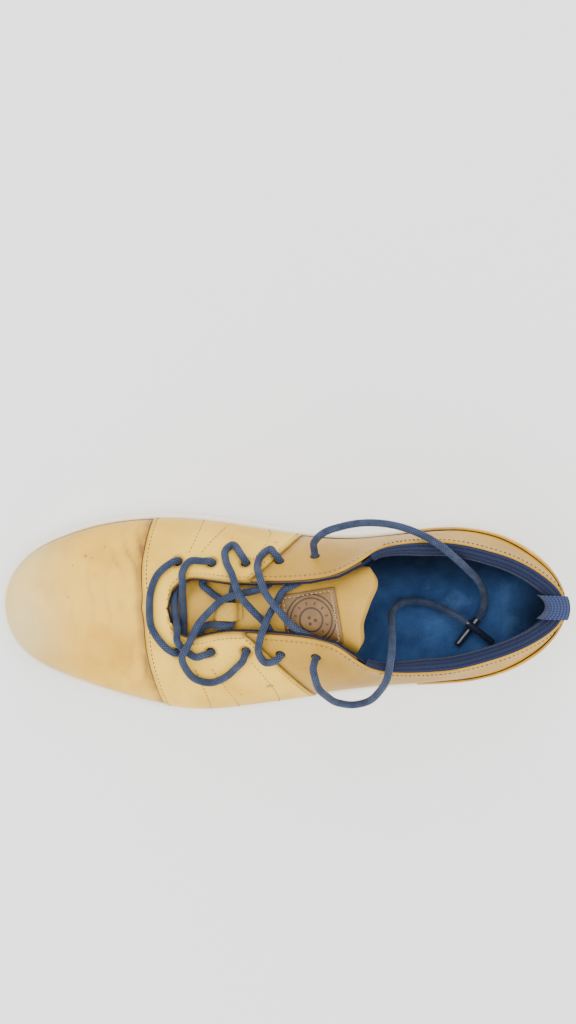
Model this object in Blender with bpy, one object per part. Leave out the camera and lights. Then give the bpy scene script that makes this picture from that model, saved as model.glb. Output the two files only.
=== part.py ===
"""A low lace-up bowling shoe for the left foot, built from its separate pieces.

The toe points along +X, the outer (lateral) side along +Y and the inner (medial) side along -Y.
The ground is z = 0. Every length below is in millimetres, and MM turns it into metres.

The upper is one base surface. Columns run round the sole's edge on each side, from the toe tip
(column 0) to the back of the heel (column HEEL), and rows climb from the cup of the sole to the
ridge, the throat or the topline. Each layer of the upper lies between two depths under that surface.
"""

import math

import bmesh
import bpy
import numpy as np
from mathutils import Matrix, Vector

MM = 0.001
GAP = 0.3

# Sole, from the ground up
PAD_TOP = 2.4
SOLE_UNDERSIDE = 1.2
PAD_SEAT = PAD_TOP + GAP
CUP_FLOOR = 7.0
CUP_WALL = 3.2
WALL_TOP_TOE = 19.5
WALL_TOP_HEEL = 25.0
HEEL_LIFT = 5.5
HEEL_LIFT_START_X = 25.0
HEEL_LIFT_FULL_X = -65.0
MIDSOLE_TOP = 11.5
BOARD_THICKNESS = 2.0
FOOTBED_THICKNESS = 4.0
TOE_SPRING = 5.0
TOE_SPRING_START_X = 85.0
TOE_TIP_X = 150.5

# Layers of the upper: depth under the base surface, growing inwards
LEATHER = 1.6
STIFFENER_TOP = LEATHER + GAP
STIFFENER = 1.0
LINING_TOP = STIFFENER_TOP + STIFFENER + GAP
LINING = 1.0
LINING_UNDER = LINING_TOP + LINING
QUARTER_PROUD = 0.8

# Columns of the upper
SEAM = 9
THROAT = 11
QUARTER = 18
FACING_END = 22
HEEL = 37
CLIMB = (0.0, 0.13, 0.29, 0.46, 0.64, 0.82, 1.0)
ROWS = len(CLIMB) + 2
TOP = ROWS - 1

EYELET_RADIUS = 2.6
LACE_RADIUS = 1.9

# Inside the sole
PAD_INSET = 6.0
SLIDE_LAST_COLUMN = 13
SLIDE_BACK_X = -8.0
HEEL_PAD_FRONT_X = -72.0
HEEL_PAD_COLUMN = 27
INNER_SOLE_INSET = CUP_WALL + GAP + LEATHER + GAP
FOOTBED_INSET = CUP_WALL + GAP + LINING_UNDER + 3 * GAP
SHANK = {"front": 6.0, "back": -94.0, "left": 5.5, "right": -9.5, "thickness": 1.5}
FOOTBED_CUP = 5.0
FOOTBED_CUP_WIDTH = 20.0
FOOTBED_CUP_FRONT_X = 40.0
FOOTBED_CUP_BACK_X = -30.0

# Stiffeners and facings
PUFF_LAST = 6
PUFF_TOP_ROW = TOP - 1
COUNTER_FIRST = 29
COUNTER_TOP_ROW = 4
STAY_FIRST = 12
STAY_FIRST_ROW = TOP - 2
PROUD_ROW = 3
EYELETS_FRONT_X = 52.5
EYELETS_BACK_X = -17.5
EYELETS_LATERAL_Y = (18.0, 17.0, 16.5, 18.0, 19.5)
EYELETS_MEDIAL_Y = (-28.5, -28.0, -28.0, -29.0, -32.0)
PUNCH_REACH = 8.0

# Collar, heel tab and heel cover
COLLAR_FIRST = FACING_END + 1
COLLAR_SEAM = 0.15
COLLAR_TAPER = 3.0
COLLAR_END_SHARE = 0.5
# Across the collar: drop below the topline, depth under the base surface
PADDING_SECTION = ((25, 2.0), (14, 2.0), (2.3, 2.0), (0.6, 3.0), (0.2, 4.8), (1.0, 6.5), (4, 7.4),
                   (9, 7.4), (16, 5.6), (25, 3.3))
KNIT_SECTION = ((1.5, 1.9), (-0.5, 1.9), (-1.1, 3.2), (-1.2, 4.9), (-0.3, 7.2), (3.6, 8.7), (9.2, 8.7),
                (16.4, 6.9), (25.5, 4.6), (34, LINING_UNDER), (1000, LINING_UNDER), (1000, LINING_TOP),
                (34, LINING_TOP), (25.6, 3.65),
                (16.1, 5.95), (9, 7.75), (4, 7.75), (0.7, 6.75), (-0.15, 4.9), (0.3, 2.7))
TAB_SECTION = ((13, -1.7), (2, -1.7), (-1.5, -1.0), (-2.6, 1.5), (-2.7, 5), (-1.9, 8.2), (2.6, 10.1),
               (9.4, 10.1), (17, 8.1), (17, 7.05), (9.3, 9.05), (3.1, 9.05), (-1.1, 7.5), (-1.6, 5),
               (-1.5, 2), (-0.5, -0.6), (2, -0.7), (13, -0.7))
TAB_HALF_WIDTH = 6.0
TAB_SETBACK_OUTSIDE = 1.3
TAB_SETBACK_INSIDE = 4.2
COVER_FIRST = 25
COVER_LOW = 0.04
COVER_TOP = ((25, 0.06), (27, 0.16), (30, 0.32), (34, 0.52), (37, 0.6))
COVER_ROWS = 4

# Tongue, label and keeper
TONGUE_FOLD_X = 13.0
# How far the flap's front edge leans back below the fold's axis, so that it can turn down
FOLD_RELIEF = 0.225
TONGUE_CENTRE_Y = -4.8
TONGUE_ARCH = ((66, 29), (20, 29), (4, 26.5), (-17, 24.1), (-32, 27), (-48, 29))
TONGUE_HEIGHT = ((66, 47.4), (60, 49.0), (52, 48.3), (38, 52.6), (20, 58.6), (0, 64.2), (-17, 68.4),
                 (-30, 73.8), (-40, 79.8), (-48, 85.5))
TONGUE_MEDIAL_EDGE = ((66, -20), (52, -27), (20, -29), (4, -27.5), (-17, -26.3), (-36, -27), (-48, -25))
TONGUE_LATERAL_EDGE = ((66, 12), (52, 17), (20, 18.5), (4, 17.5), (-17, 17), (-36, 20), (-48, 18))
TONGUE_TIP = ((-30, -43), (-24, -46), (-8, -42), (2, -39.5), (15, -39.5), (22, -36))
TONGUE_ROOT_STATIONS = (66, 60, 52, 44, 36, 28, 20, TONGUE_FOLD_X + 0.2)
TONGUE_FLAP_STATIONS = (TONGUE_FOLD_X - 0.2, 4, -5, -14, -23, -32, -40)
TONGUE_ACROSS = 11
TONGUE_LAYERS = (("leather", "light_leather", 0.0, 1.4), ("foam", "foam", 1.7, 5.7), ("lining", "knit", 6.0, 7.0))
LABEL_SIDE = 28.0
LABEL_CENTRE = (-16.0, 0.0)
LABEL_TURN = math.radians(9.7)
LABEL_THICKNESS = 0.9
KEEPER_X = 26.3
KEEPER_Y = (-7.5, 0.4)
# The keeper from its rear foot to its front one: offset from its middle, height above the tongue
KEEPER_SECTION = ((-7.6, 0.4), (-7.6, 1.3), (-6.0, 1.5), (-5.4, 4.4), (-4.0, 5.8), (4.0, 5.8), (5.4, 4.4),
                  (6.0, 1.5), (7.6, 1.3), (7.6, 0.4), (5.0, 0.4), (4.75, 4.0), (3.6, 4.9), (-3.6, 4.9),
                  (-4.75, 4.0), (-5.0, 0.4))

# Laces
ON_FACING = 3.1
AGLET_RADIUS = 2.1
LACE_END_HEIGHT = 4.2
# The laced stretch in order, from the last medial eyelet to the last lateral one. A "facing" or
# "tongue" line is x, y and the height above that surface, a "point" line is x, y, z, and a "hole"
# line is a side, an eyelet's number, and the ways the lace leaves it above and below.
LACING = (
    ("start", -1, 4, (0.25, 0.97)),
    ("tongue", -15.5, -20.5, 2.5), ("tongue", -8.5, -16.2, 3.6), ("tongue", -2.5, -13.0, 4.1),
    ("tongue", 1.0, -7.8, 4.2), ("point", 7.0, 1.0, 70.4),
    ("facing", 9.6, 9.5, 4.0), ("facing", 10.0, 15.5, ON_FACING), ("facing", 7.0, 20.5, ON_FACING),
    ("hole", 1, 3, (0.75, 0.66), (0.15, -0.99), "down"),
    ("tongue", 2.0, 8.5, 2.4), ("point", 8.0, 1.8, 64.9), ("point", 14.0, -4.5, 67.4),
    ("point", 20.0, -11.8, 69.4), ("facing", 23.8, -21.0, 3.9), ("facing", 27.0, -27.5, ON_FACING),
    ("facing", 27.8, -32.5, ON_FACING), ("facing", 24.5, -35.0, ON_FACING),
    ("hole", -1, 2, (0.5, -0.86), (0.1, 0.99), "down"),
    ("tongue", 20.5, -19.0, 2.4), ("tongue", 23.4, -14.0, 2.4), ("tongue", 24.0, -8.0, 2.4),
    ("tongue", 24.0, -2.0, 2.4), ("tongue", 24.1, 2.6, 3.2), ("tongue", 25.4, 2.6, 5.6),
    ("tongue", 27.6, 2.1, 6.7), ("tongue", 30.6, 2.4, 6.0), ("tongue", 34.0, 2.8, 3.5),
    ("tongue", 38.0, 4.0, 2.4), ("tongue", 41.0, 6.5, 2.4),
    ("hole", 1, 1, (0.98, 0.2), (0.7, -0.7), "up"),
    ("facing", 41.5, 19.0, ON_FACING), ("facing", 47.5, 16.0, ON_FACING), ("facing", 51.0, 11.0, 4.4),
    ("point", 52.6, 5.6, 57.6), ("tongue", 54.2, 0.8, 5.2), ("tongue", 55.0, -6.0, 2.7),
    ("tongue", 54.0, -14.0, 2.25),
    ("hole", -1, 0, (0.8, 0.6), (0.05, 1.0), "up"),
    ("facing", 61.5, -21.5, ON_FACING), ("facing", 65.5, -12.5, ON_FACING), ("facing", 66.2, -4.0, ON_FACING),
    ("facing", 64.8, 4.0, ON_FACING), ("facing", 60.5, 12.0, ON_FACING),
    ("hole", 1, 0, (0.85, -0.5), (-0.3, -0.95), "down"),
    ("tongue", 49.6, 7.0, 2.4), ("tongue", 49.3, 0.5, 2.4), ("tongue", 49.7, -7.0, 2.6),
    ("point", 50.2, -12.0, 54.3), ("point", 49.6, -16.6, 59.8), ("facing", 48.4, -22.0, 4.2),
    ("facing", 45.5, -27.5, ON_FACING),
    ("hole", -1, 1, (0.98, 0.15), (0.5, 0.86), "down"),
    ("tongue", 39.5, -16.5, 2.4), ("tongue", 34.5, -12.0, 2.4), ("tongue", 29.5, -8.5, 2.4),
    ("tongue", 28.6, -2.0, 2.4), ("tongue", 28.6, 2.0, 2.4), ("tongue", 27.6, 5.4, 2.3),
    ("tongue", 23.5, 8.5, 2.3),
    ("hole", 1, 2, (0.3, 0.95), (0.4, -0.9), "up"),
    ("facing", 22.0, 24.0, ON_FACING), ("facing", 28.0, 29.0, ON_FACING), ("facing", 36.0, 32.0, ON_FACING),
    ("facing", 43.0, 30.0, 3.6), ("facing", 46.8, 24.0, 5.6), ("facing", 47.4, 16.5, 8.1),
    ("facing", 45.2, 10.0, 5.0), ("point", 41.5, 3.0, 61.0), ("point", 34.8, -4.5, 62.2),
    ("point", 31.0, -8.2, 63.1), ("point", 26.4, -10.8, 63.9), ("point", 20.0, -12.8, 65.0),
    ("point", 15.0, -13.8, 65.5), ("point", 8.0, -16.0, 65.1), ("tongue", 2.8, -18.6, 2.5),
    ("hole", -1, 3, (0.6, -0.8), (0.1, 0.99), "up"),
    ("facing", 4.5, -32.5, ON_FACING), ("facing", 9.3, -29.5, ON_FACING), ("facing", 10.8, -24.5, ON_FACING),
    ("facing", 9.8, -19.9, 3.8),
    ("point", 7.0, -13.0, 73.2), ("point", 2.0, -6.5, 73.0), ("tongue", -8.5, 3.0, 4.5),
    ("tongue", -16.6, 7.6, 4.0),
    ("stop", 1, 4, (0.1, -0.99)),
)
# Free ends, x, y, z from just above the last eyelet to the aglet
MEDIAL_END = (
    (-18.6, -40.8, 68.5), (-22.5, -44.0, 72.5), (-31.0, -46.8, 72.0), (-46.0, -48.6, 66.5),
    (-58.0, -47.2, 65.0), (-69.0, -43.6, 67.5), (-79.0, -38.2, 69.2), (-87.5, -31.5, 66.0),
    (-96.0, -24.5, 57.0), (-103.5, -17.5, 44.0), (-107.8, -10.5, 33.0), (-108.2, -3.0, 26.9),
)
MEDIAL_AGLET = ((-105.2, 3.0, 26.4), (-94.0, 17.0, 27.6))
LATERAL_END = (
    (-17.4, 28.5, 76.0), (-19.0, 33.5, 73.0), (-23.5, 39.0, 65.0), (-29.5, 43.5, 57.0),
    (-37.0, 45.0, 54.0), (-44.5, 42.8, 58.0), (-50.0, 36.5, 66.5), (-53.5, 28.5, 74.0),
    (-55.0, 20.5, 75.0), (-56.5, 12.0, 66.0), (-57.5, 3.5, 50.0), (-59.5, -2.5, 36.5),
    (-65.5, -6.0, 29.5), (-74.0, -6.2, 28.6), (-84.0, -3.6, 30.2), (-92.5, 0.6, 31.8),
)
LATERAL_AGLET = ((-98.3, 4.2, 32.6), (-113.0, 15.6, 29.2))

# Colour, roughness and metal of each finish
FINISHES = {
    "light_leather": ((0.74, 0.54, 0.26), 0.55, 0.0),
    "dark_leather": ((0.52, 0.33, 0.13), 0.5, 0.0),
    "label": ((0.36, 0.22, 0.09), 0.55, 0.0),
    "sole": ((0.87, 0.82, 0.7), 0.5, 0.0),
    "slide": ((0.45, 0.42, 0.38), 0.9, 0.0),
    "rubber": ((0.03, 0.03, 0.03), 0.7, 0.0),
    "foam": ((0.7, 0.66, 0.55), 0.95, 0.0),
    "steel": ((0.5, 0.5, 0.52), 0.35, 1.0),
    "board": ((0.55, 0.42, 0.28), 0.9, 0.0),
    "footbed": ((0.03, 0.1, 0.27), 0.9, 0.0),
    "lining": ((0.04, 0.06, 0.12), 0.95, 0.0),
    "knit": ((0.05, 0.075, 0.15), 0.95, 0.0),
    "tab": ((0.06, 0.1, 0.2), 0.9, 0.0),
    "keeper": ((0.62, 0.42, 0.19), 0.7, 0.0),
    "lace": ((0.09, 0.13, 0.24), 0.85, 0.0),
    "aglet": ((0.02, 0.02, 0.03), 0.25, 0.0),
}

# Edge of the sole in plan, from the toe tip round the lateral side to the heel and back
SOLE_EDGE = (
    (150.5, -6), (146, 13), (135, 26), (120, 34.5), (100, 42), (80, 48), (60, 52.5), (38, 54),
    (10, 51), (-20, 46), (-50, 41.5), (-80, 39.5), (-102, 37.5), (-121, 32.5), (-137, 23),
    (-147, 10), (-150, -5), (-146, -22), (-136, -34), (-119, -43.5), (-100, -47.5), (-82, -47.5),
    (-60, -45), (-38, -43), (-12, -44.5), (12, -48), (34, -51.5), (56, -53.5), (78, -53),
    (98, -50), (116, -44.5), (132, -37), (145, -24),
)

# One line for each guide column: column, x of its foot, then x, y, z of its top,
# pull at the foot, angle and pull at the top
LATERAL_GUIDES = (
    (0, 147.0, 117.0, -6.0, 38.5, 13, 14, 17),
    (3, 136.0, 113.5, -6.0, 39.5, 14, 9, 18),
    (6, 108.0, 98.0, -5.5, 43.2, 16, 4, 23),
    (9, 62.0, 76.0, -4.5, 49.3, 20, -4, 29),
    (11, 50.0, 58.6, -4.5, 55.3, 23, -2, 29),
    (12, 44.0, 56.2, 5.0, 55.4, 23, 3, 24),
    (13, 37.0, 52.0, 9.2, 56.0, 24, 6, 21),
    (18, -20.0, 17.5, 7.6, 67.4, 30, 14, 22),
    (21, -40.0, -27.0, 13.5, 78.5, 30, 42, 16),
    (22, -48.0, -37.0, 20.5, 78.6, 28, 62, 14),
    (23, -56.0, -45.0, 25.2, 74.5, 25, 74, 13),
    (26, -82.0, -82.0, 28.4, 60.5, 18, 78, 11),
    (29, -112.0, -111.0, 21.5, 62.5, 18, 80, 12),
    (33, -138.0, -135.5, 8.0, 70.5, 20, 84, 14),
    (37, -150.0, -143.5, -6.0, 72.5, 21, 86, 14),
)
MEDIAL_GUIDES = (
    (0, 147.0, 117.0, -6.0, 38.5, 13, 14, 17),
    (3, 138.0, 113.5, -6.0, 39.5, 14, 9, 18),
    (6, 110.0, 98.0, -5.5, 43.2, 16, 4, 23),
    (9, 68.0, 76.0, -4.5, 49.3, 20, -3, 26),
    (11, 57.0, 58.6, -4.5, 55.3, 23, 0, 26),
    (12, 51.0, 56.2, -13.5, 55.4, 23, 4, 21),
    (13, 44.0, 52.0, -18.0, 56.2, 24, 8, 18),
    (18, -12.0, 15.0, -19.8, 68.2, 28, 18, 17),
    (21, -40.0, -28.0, -25.0, 79.5, 30, 50, 13),
    (22, -48.0, -39.0, -31.0, 79.6, 28, 68, 12),
    (23, -56.0, -47.0, -36.0, 75.8, 25, 78, 12),
    (26, -82.0, -82.0, -39.8, 62.5, 18, 80, 11),
    (29, -112.0, -112.0, -33.8, 64.5, 18, 82, 12),
    (33, -138.0, -136.5, -20.0, 70.5, 20, 85, 14),
    (37, -150.0, -143.5, -6.0, 72.5, 21, 86, 14),
)


# Curves and fields ------------------------------------------------------------------------------

def smooth_values(keys, values, at):
    """Values of the smooth curve that passes through each key's value, at the given places."""
    keys = np.asarray(keys, float)
    values = np.asarray(values, float)
    slopes = np.gradient(values, keys, axis=0)
    at = np.clip(np.asarray(at, float), keys[0], keys[-1])
    span = np.clip(np.searchsorted(keys, at, side="right") - 1, 0, len(keys) - 2)
    width = keys[span + 1] - keys[span]
    t = (at - keys[span]) / width
    if values.ndim == 2:
        t = t[:, None]
        width = width[:, None]
    from_start = (2 * t**3 - 3 * t**2 + 1) * values[span] + (t**3 - 2 * t**2 + t) * width * slopes[span]
    from_end = (3 * t**2 - 2 * t**3) * values[span + 1] + (t**3 - t**2) * width * slopes[span + 1]
    return from_start + from_end


def ease(t):
    t = np.clip(t, 0.0, 1.0)
    return t * t * (3 - 2 * t)


def lift(x):
    """How much the wedge under the heel raises the layers inside the sole."""
    return HEEL_LIFT * ease((HEEL_LIFT_START_X - x) / (HEEL_LIFT_START_X - HEEL_LIFT_FULL_X))


def wall_top(x):
    rise = ease((HEEL_LIFT_START_X - x) / (HEEL_LIFT_START_X - HEEL_LIFT_FULL_X))
    return WALL_TOP_TOE + (WALL_TOP_HEEL - WALL_TOP_TOE) * rise


def board_top(x):
    return MIDSOLE_TOP + GAP + BOARD_THICKNESS + lift(x)


def with_toe_spring(points):
    """The points with the toe curling up off the ground."""
    points = np.array(points, float)
    ahead = np.clip((points[:, 0] - TOE_SPRING_START_X) / (TOE_TIP_X - TOE_SPRING_START_X), 0, None)
    points[:, 2] += TOE_SPRING * ahead**2
    return points


def unit(vectors):
    return vectors / np.maximum(np.linalg.norm(vectors, axis=-1, keepdims=True), 1e-9)


# Plan of the sole -------------------------------------------------------------------------------

def closed_curve(points, per_span=24, passes=60):
    """A dense smooth closed curve near the points."""
    points = np.asarray(points, float)
    t = np.linspace(0, 1, per_span, endpoint=False)[:, None]
    spans = []
    for i in range(len(points)):
        a, b, c, d = (points[(i + k) % len(points)] for k in (-1, 0, 1, 2))
        spans.append(0.5 * (2 * b + (c - a) * t + (2 * a - 5 * b + 4 * c - d) * t**2
                            + (3 * b - a - 3 * c + d) * t**3))
    curve = np.concatenate(spans)
    for _ in range(passes):
        curve = 0.25 * np.roll(curve, 1, 0) + 0.5 * curve + 0.25 * np.roll(curve, -1, 0)
    return curve


class Side:
    """One side of the shoe: the sole's edge from toe tip to heel, and the columns of the upper on it."""

    def __init__(self, name, sign, edge, outward, guides):
        self.name = name
        self.sign = sign
        self.edge = edge
        self.outward = outward
        self.length = np.concatenate([[0], np.cumsum(np.linalg.norm(np.diff(edge, axis=0), axis=1))])
        self.guides = np.asarray(guides, float)
        self.feet = np.array([self.arc_at_x(x) for x in self.guides[:, 1]])
        self.feet[0], self.feet[-1] = 0.0, self.length[-1]

    def joined(self, other):
        """The side with one guide of the other beyond each end, so that the two run on smoothly."""
        end = self.feet[-1]
        self.keys = np.array([-other.guides[1, 0], *self.guides[:, 0], 2 * HEEL - other.guides[-2, 0]])
        self.all_feet = np.array([-other.feet[1], *self.feet, end + other.feet[-1] - other.feet[-2]])
        self.all_guides = np.vstack([other.guides[1], self.guides, other.guides[-2]])

    def arc_at_x(self, x):
        return float(np.interp(-x, -self.edge[:, 0], self.length))

    def arcs(self, columns):
        return smooth_values(self.keys, self.all_feet, columns)

    def plan(self, arcs, inset):
        """Points of the sole's edge moved inwards by the inset, at these lengths from the toe tip."""
        place = np.stack([np.interp(arcs, self.length, self.edge[:, k]) for k in (0, 1)], axis=1)
        out = np.stack([np.interp(arcs, self.length, self.outward[:, k]) for k in (0, 1)], axis=1)
        return place - unit(out) * inset, unit(out)

    def frame(self, columns):
        """Foot, top and the two pulls of each column's curve."""
        values = smooth_values(self.keys, self.all_guides[:, 2:], columns)
        top, foot_pull, angle, top_pull = values[:, :3], values[:, 3], np.radians(values[:, 4]), values[:, 5]
        foot_plan, out = self.plan(self.arcs(columns), CUP_WALL + GAP)
        foot = np.column_stack([foot_plan, wall_top(foot_plan[:, 0])])
        up = unit(np.column_stack([out * 0.07, np.ones(len(out))]))
        inward = unit(top[:, :2] - foot_plan)
        over = np.column_stack([inward * np.cos(angle)[:, None], np.sin(angle)])
        return foot, foot + up * foot_pull[:, None], top - over * top_pull[:, None], top, over

    def surface(self, columns, climb):
        """Base surface as an array of columns by climbs, a climb over 1 running on past the top."""
        foot, first, second, top, over = (p[:, None, :] for p in self.frame(columns))
        t = np.asarray(climb, float)[None, :, None]
        inside = np.clip(t, 0, 1)
        curve = ((1 - inside)**3 * foot + 3 * (1 - inside)**2 * inside * first
                 + 3 * (1 - inside) * inside**2 * second + inside**3 * top)
        return curve + over * np.clip(t - 1, 0, None)

    def tucked(self, columns):
        """The surface with the two rows that stand inside the cup under it."""
        wall = self.surface(columns, CLIMB)
        foot = wall[:, 0]
        rows = []
        for height in (np.full(len(foot), CUP_FLOOR + GAP), board_top(foot[:, 0]) + GAP):
            rows.append(np.column_stack([foot[:, :2], height]))
        return np.concatenate([np.stack(rows, axis=1), wall], axis=1)


def make_sides():
    edge = closed_curve(SOLE_EDGE)
    edge = np.roll(edge, -int(np.argmax(edge[:, 0])), axis=0)
    heel = int(np.argmin(edge[:, 0]))
    along = unit(np.roll(edge, -1, axis=0) - np.roll(edge, 1, axis=0))
    outward = np.stack([along[:, 1], -along[:, 0]], axis=1)
    lateral = np.arange(heel + 1)
    medial = np.append(np.arange(heel, len(edge)), 0)[::-1]
    return (Side("lateral", 1, edge[lateral], outward[lateral], LATERAL_GUIDES),
            Side("medial", -1, edge[medial], outward[medial], MEDIAL_GUIDES))


LATERAL_SIDE, MEDIAL_SIDE = make_sides()
LATERAL_SIDE.joined(MEDIAL_SIDE)
MEDIAL_SIDE.joined(LATERAL_SIDE)
SIDES = {1: LATERAL_SIDE, -1: MEDIAL_SIDE}


def side_of(column):
    return LATERAL_SIDE if column >= 0 else MEDIAL_SIDE


def wrapped(column):
    """A column number counted past the heel, brought back to the other side."""
    if column > HEEL:
        return column - 2 * HEEL
    if column <= -HEEL:
        return column + 2 * HEEL
    return column


def vertex_key(column, row):
    """One key for each vertex of the upper: both sides share the toe, the ridge and the heel."""
    column = wrapped(column)
    if row == TOP and abs(column) <= THROAT:
        return abs(column), row
    return column, row


def base_mesh():
    """Vertices and outward normals of the base surface, by key."""
    place = {}
    for side in SIDES.values():
        columns = np.arange(HEEL + 1)
        grid = side.tucked(columns)
        for c in columns:
            for r in range(ROWS):
                place.setdefault(vertex_key(int(c) * side.sign, r), grid[c, r])
    normal = {key: np.zeros(3) for key in place}
    for column in range(-HEEL, HEEL):
        for row in range(ROWS - 1):
            keys = [vertex_key(column, row), vertex_key(column + 1, row),
                    vertex_key(column + 1, row + 1), vertex_key(column, row + 1)]
            a, b, c, d = (place[k] for k in keys)
            facing = np.cross(c - a, d - b)
            for key in keys:
                normal[key] += facing
    return place, {key: unit(n) for key, n in normal.items()}


PLACE, NORMAL = base_mesh()


# Making objects ---------------------------------------------------------------------------------

def clear_scene():
    for item in list(bpy.data.objects):
        bpy.data.objects.remove(item, do_unlink=True)


def material(name, colour, roughness, metallic=0.0):
    made = bpy.data.materials.get(name)
    if made is None:
        made = bpy.data.materials.new(name)
        made.use_nodes = True
        shader = made.node_tree.nodes["Principled BSDF"]
        shader.inputs["Base Color"].default_value = (*colour, 1.0)
        shader.inputs["Roughness"].default_value = roughness
        shader.inputs["Metallic"].default_value = metallic
        made.diffuse_color = (*colour, 1.0)
    return made


def new_object(name, points, faces, finish, parent=None, smooth=True):
    """An object from points in millimetres, with its doubles merged and its faces turned outwards."""
    points = with_toe_spring(points) * MM
    mesh = bpy.data.meshes.new(name)
    mesh.from_pydata([tuple(p) for p in points], [], [tuple(f) for f in faces])
    work = bmesh.new()
    work.from_mesh(mesh)
    bmesh.ops.remove_doubles(work, verts=work.verts, dist=0.002 * MM)
    bmesh.ops.dissolve_degenerate(work, edges=work.edges, dist=0.002 * MM)
    bmesh.ops.recalc_face_normals(work, faces=work.faces)
    if work.calc_volume(signed=True) < 0:
        bmesh.ops.reverse_faces(work, faces=work.faces)
    work.to_mesh(mesh)
    work.free()
    if smooth:
        mesh.shade_smooth()
        mesh.set_sharp_from_angle(angle=math.radians(50))
    mesh.materials.append(finish)
    made = bpy.data.objects.new(name, mesh)
    bpy.context.collection.objects.link(made)
    if parent is not None:
        made.parent = parent
        made.matrix_parent_inverse = parent.matrix_world.inverted()
    return made


def cut(target, cutter):
    tool = target.modifiers.new("cut", "BOOLEAN")
    tool.operation = "DIFFERENCE"
    tool.solver = "EXACT"
    tool.object = cutter
    return tool


def as_cutter(made):
    made.hide_render = True
    made.display_type = "WIRE"
    return made


def thick_sheet(cells, outer, inner):
    """Points and faces of a sheet of four-sided cells, given each corner's two faces."""
    keys = sorted({key for cell in cells for key in cell})
    index = {key: i for i, key in enumerate(keys)}
    points = [outer[key] for key in keys] + [inner[key] for key in keys]
    count = len(keys)
    faces, edges = [], {}
    for cell in cells:
        ring = [index[key] for key in cell]
        ring = [v for i, v in enumerate(ring) if v != ring[i - 1]]
        for half in (ring[:3], [ring[0], *ring[2:]]) if len(ring) == 4 else (ring,):
            faces.append(half)
            faces.append([v + count for v in reversed(half)])
        for a, b in zip(ring, ring[1:] + ring[:1]):
            edges[(a, b)] = True
    for a, b in edges:
        if (b, a) not in edges:
            faces.append([b, a, a + count, b + count])
    return points, faces


def panel(name, finish, spans, depth_out, depth_in, trims=()):
    """A layer of the upper over spans of (first column, last column, first row, last row).

    The depths are numbers, or functions of a column and a row. Each trim is a column and the way
    to its neighbour, and keeps half the gap to the panel beyond that column.
    """
    cells = []
    for first, last, low, high in spans:
        for column in range(first, last):
            for row in range(low, high):
                cells.append(tuple(vertex_key(c, r) for c, r in (
                    (column, row), (column + 1, row), (column + 1, row + 1), (column, row + 1))))
    keys = {key for cell in cells for key in cell}
    faces_out, faces_in = {}, {}
    for key in keys:
        out = depth_out(*key) if callable(depth_out) else depth_out
        into = depth_in(*key) if callable(depth_in) else depth_in
        faces_out[key] = PLACE[key] - NORMAL[key] * out
        faces_in[key] = PLACE[key] - NORMAL[key] * into
    for column, step in trims:
        for row in range(ROWS):
            here, there = vertex_key(column, row), vertex_key(column + step, row)
            if here not in keys or there not in keys:
                continue
            for layer in (faces_out, faces_in):
                way = layer[there] - layer[here]
                layer[here] = layer[here] + way * (0.6 * GAP / np.linalg.norm(way))
    return new_object(name, *thick_sheet(cells, faces_out, faces_in), finish)


def loft(name, finish, rings, closed=False, parent=None):
    """A solid through closed rings of points, capped at both ends unless the rings close on themselves."""
    size = len(rings[0])
    points = [p for ring in rings for p in ring]
    faces = []
    count = len(rings)
    for i in range(count if closed else count - 1):
        a, b = i * size, ((i + 1) % count) * size
        for k in range(size):
            n = (k + 1) % size
            faces.append([a + k, a + n, b + n, b + k])
    if not closed:
        faces.append(list(range(size))[::-1])
        faces.append([(count - 1) * size + k for k in range(size)])
    return new_object(name, points, faces, finish, parent)


# Sole -------------------------------------------------------------------------------------------

def outline_ring(inset, height):
    """The columns' feet all round the sole at an inset, at a height given as a number or f(x)."""
    columns = np.arange(0, HEEL + 1)
    rings = []
    for side in (LATERAL_SIDE, MEDIAL_SIDE):
        plan, _ = side.plan(side.arcs(columns), inset)
        rings.append(plan)
    plan = np.concatenate([rings[0], rings[1][1:-1][::-1]])
    z = height(plan[:, 0]) if callable(height) else np.full(len(plan), float(height))
    return np.column_stack([plan, z])


def stacked_rings(name, finish, rings):
    """A solid through rings round the sole, its first and last ring closed by strips across."""
    size = 2 * HEEL
    points = np.concatenate(rings)
    faces = []
    for i in range(len(rings) - 1):
        for k in range(size):
            n = (k + 1) % size
            faces.append([i * size + k, i * size + n, (i + 1) * size + n, (i + 1) * size + k])
    for base in (0, (len(rings) - 1) * size):
        for k in range(HEEL):
            corners = [k, k + 1, (size - k - 1) % size, (size - k) % size]
            strip = [base + c for i, c in enumerate(corners) if c not in corners[:i]]
            faces.append(strip)
    return new_object(name, points, faces, finish)


def lines_across(inset, first, last, across):
    """Lines of plan points from the medial to the lateral edge, at these columns."""
    columns = np.arange(first, last + 1)
    medial, lateral = (side.plan(side.arcs(columns), inset)[0] for side in (MEDIAL_SIDE, LATERAL_SIDE))
    share = np.linspace(0, 1, across)[:, None]
    return [a + (b - a) * share for a, b in zip(medial, lateral)]


def line_at_x(x, inset, across):
    """One straight line of plan points across the sole."""
    ends = [side.plan(np.array([side.arc_at_x(x)]), inset)[0][0] for side in (MEDIAL_SIDE, LATERAL_SIDE)]
    return ends[0] + (ends[1] - ends[0]) * np.linspace(0, 1, across)[:, None]


def slab(name, finish, lines, bottom, top):
    """A closed slab over lines of plan points, between two heights given as f(x, y)."""
    cells, upper, lower = [], {}, {}
    for i, line in enumerate(lines):
        for k, (x, y) in enumerate(line):
            upper[(i, k)] = np.array([x, y, top(x, y)])
            lower[(i, k)] = np.array([x, y, bottom(x, y)])
            if i and k:
                cells.append(((i - 1, k - 1), (i - 1, k), (i, k), (i, k - 1)))
    return new_object(name, *thick_sheet(cells, upper, lower), finish)


def flat(height):
    return lambda x, y: height


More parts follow.
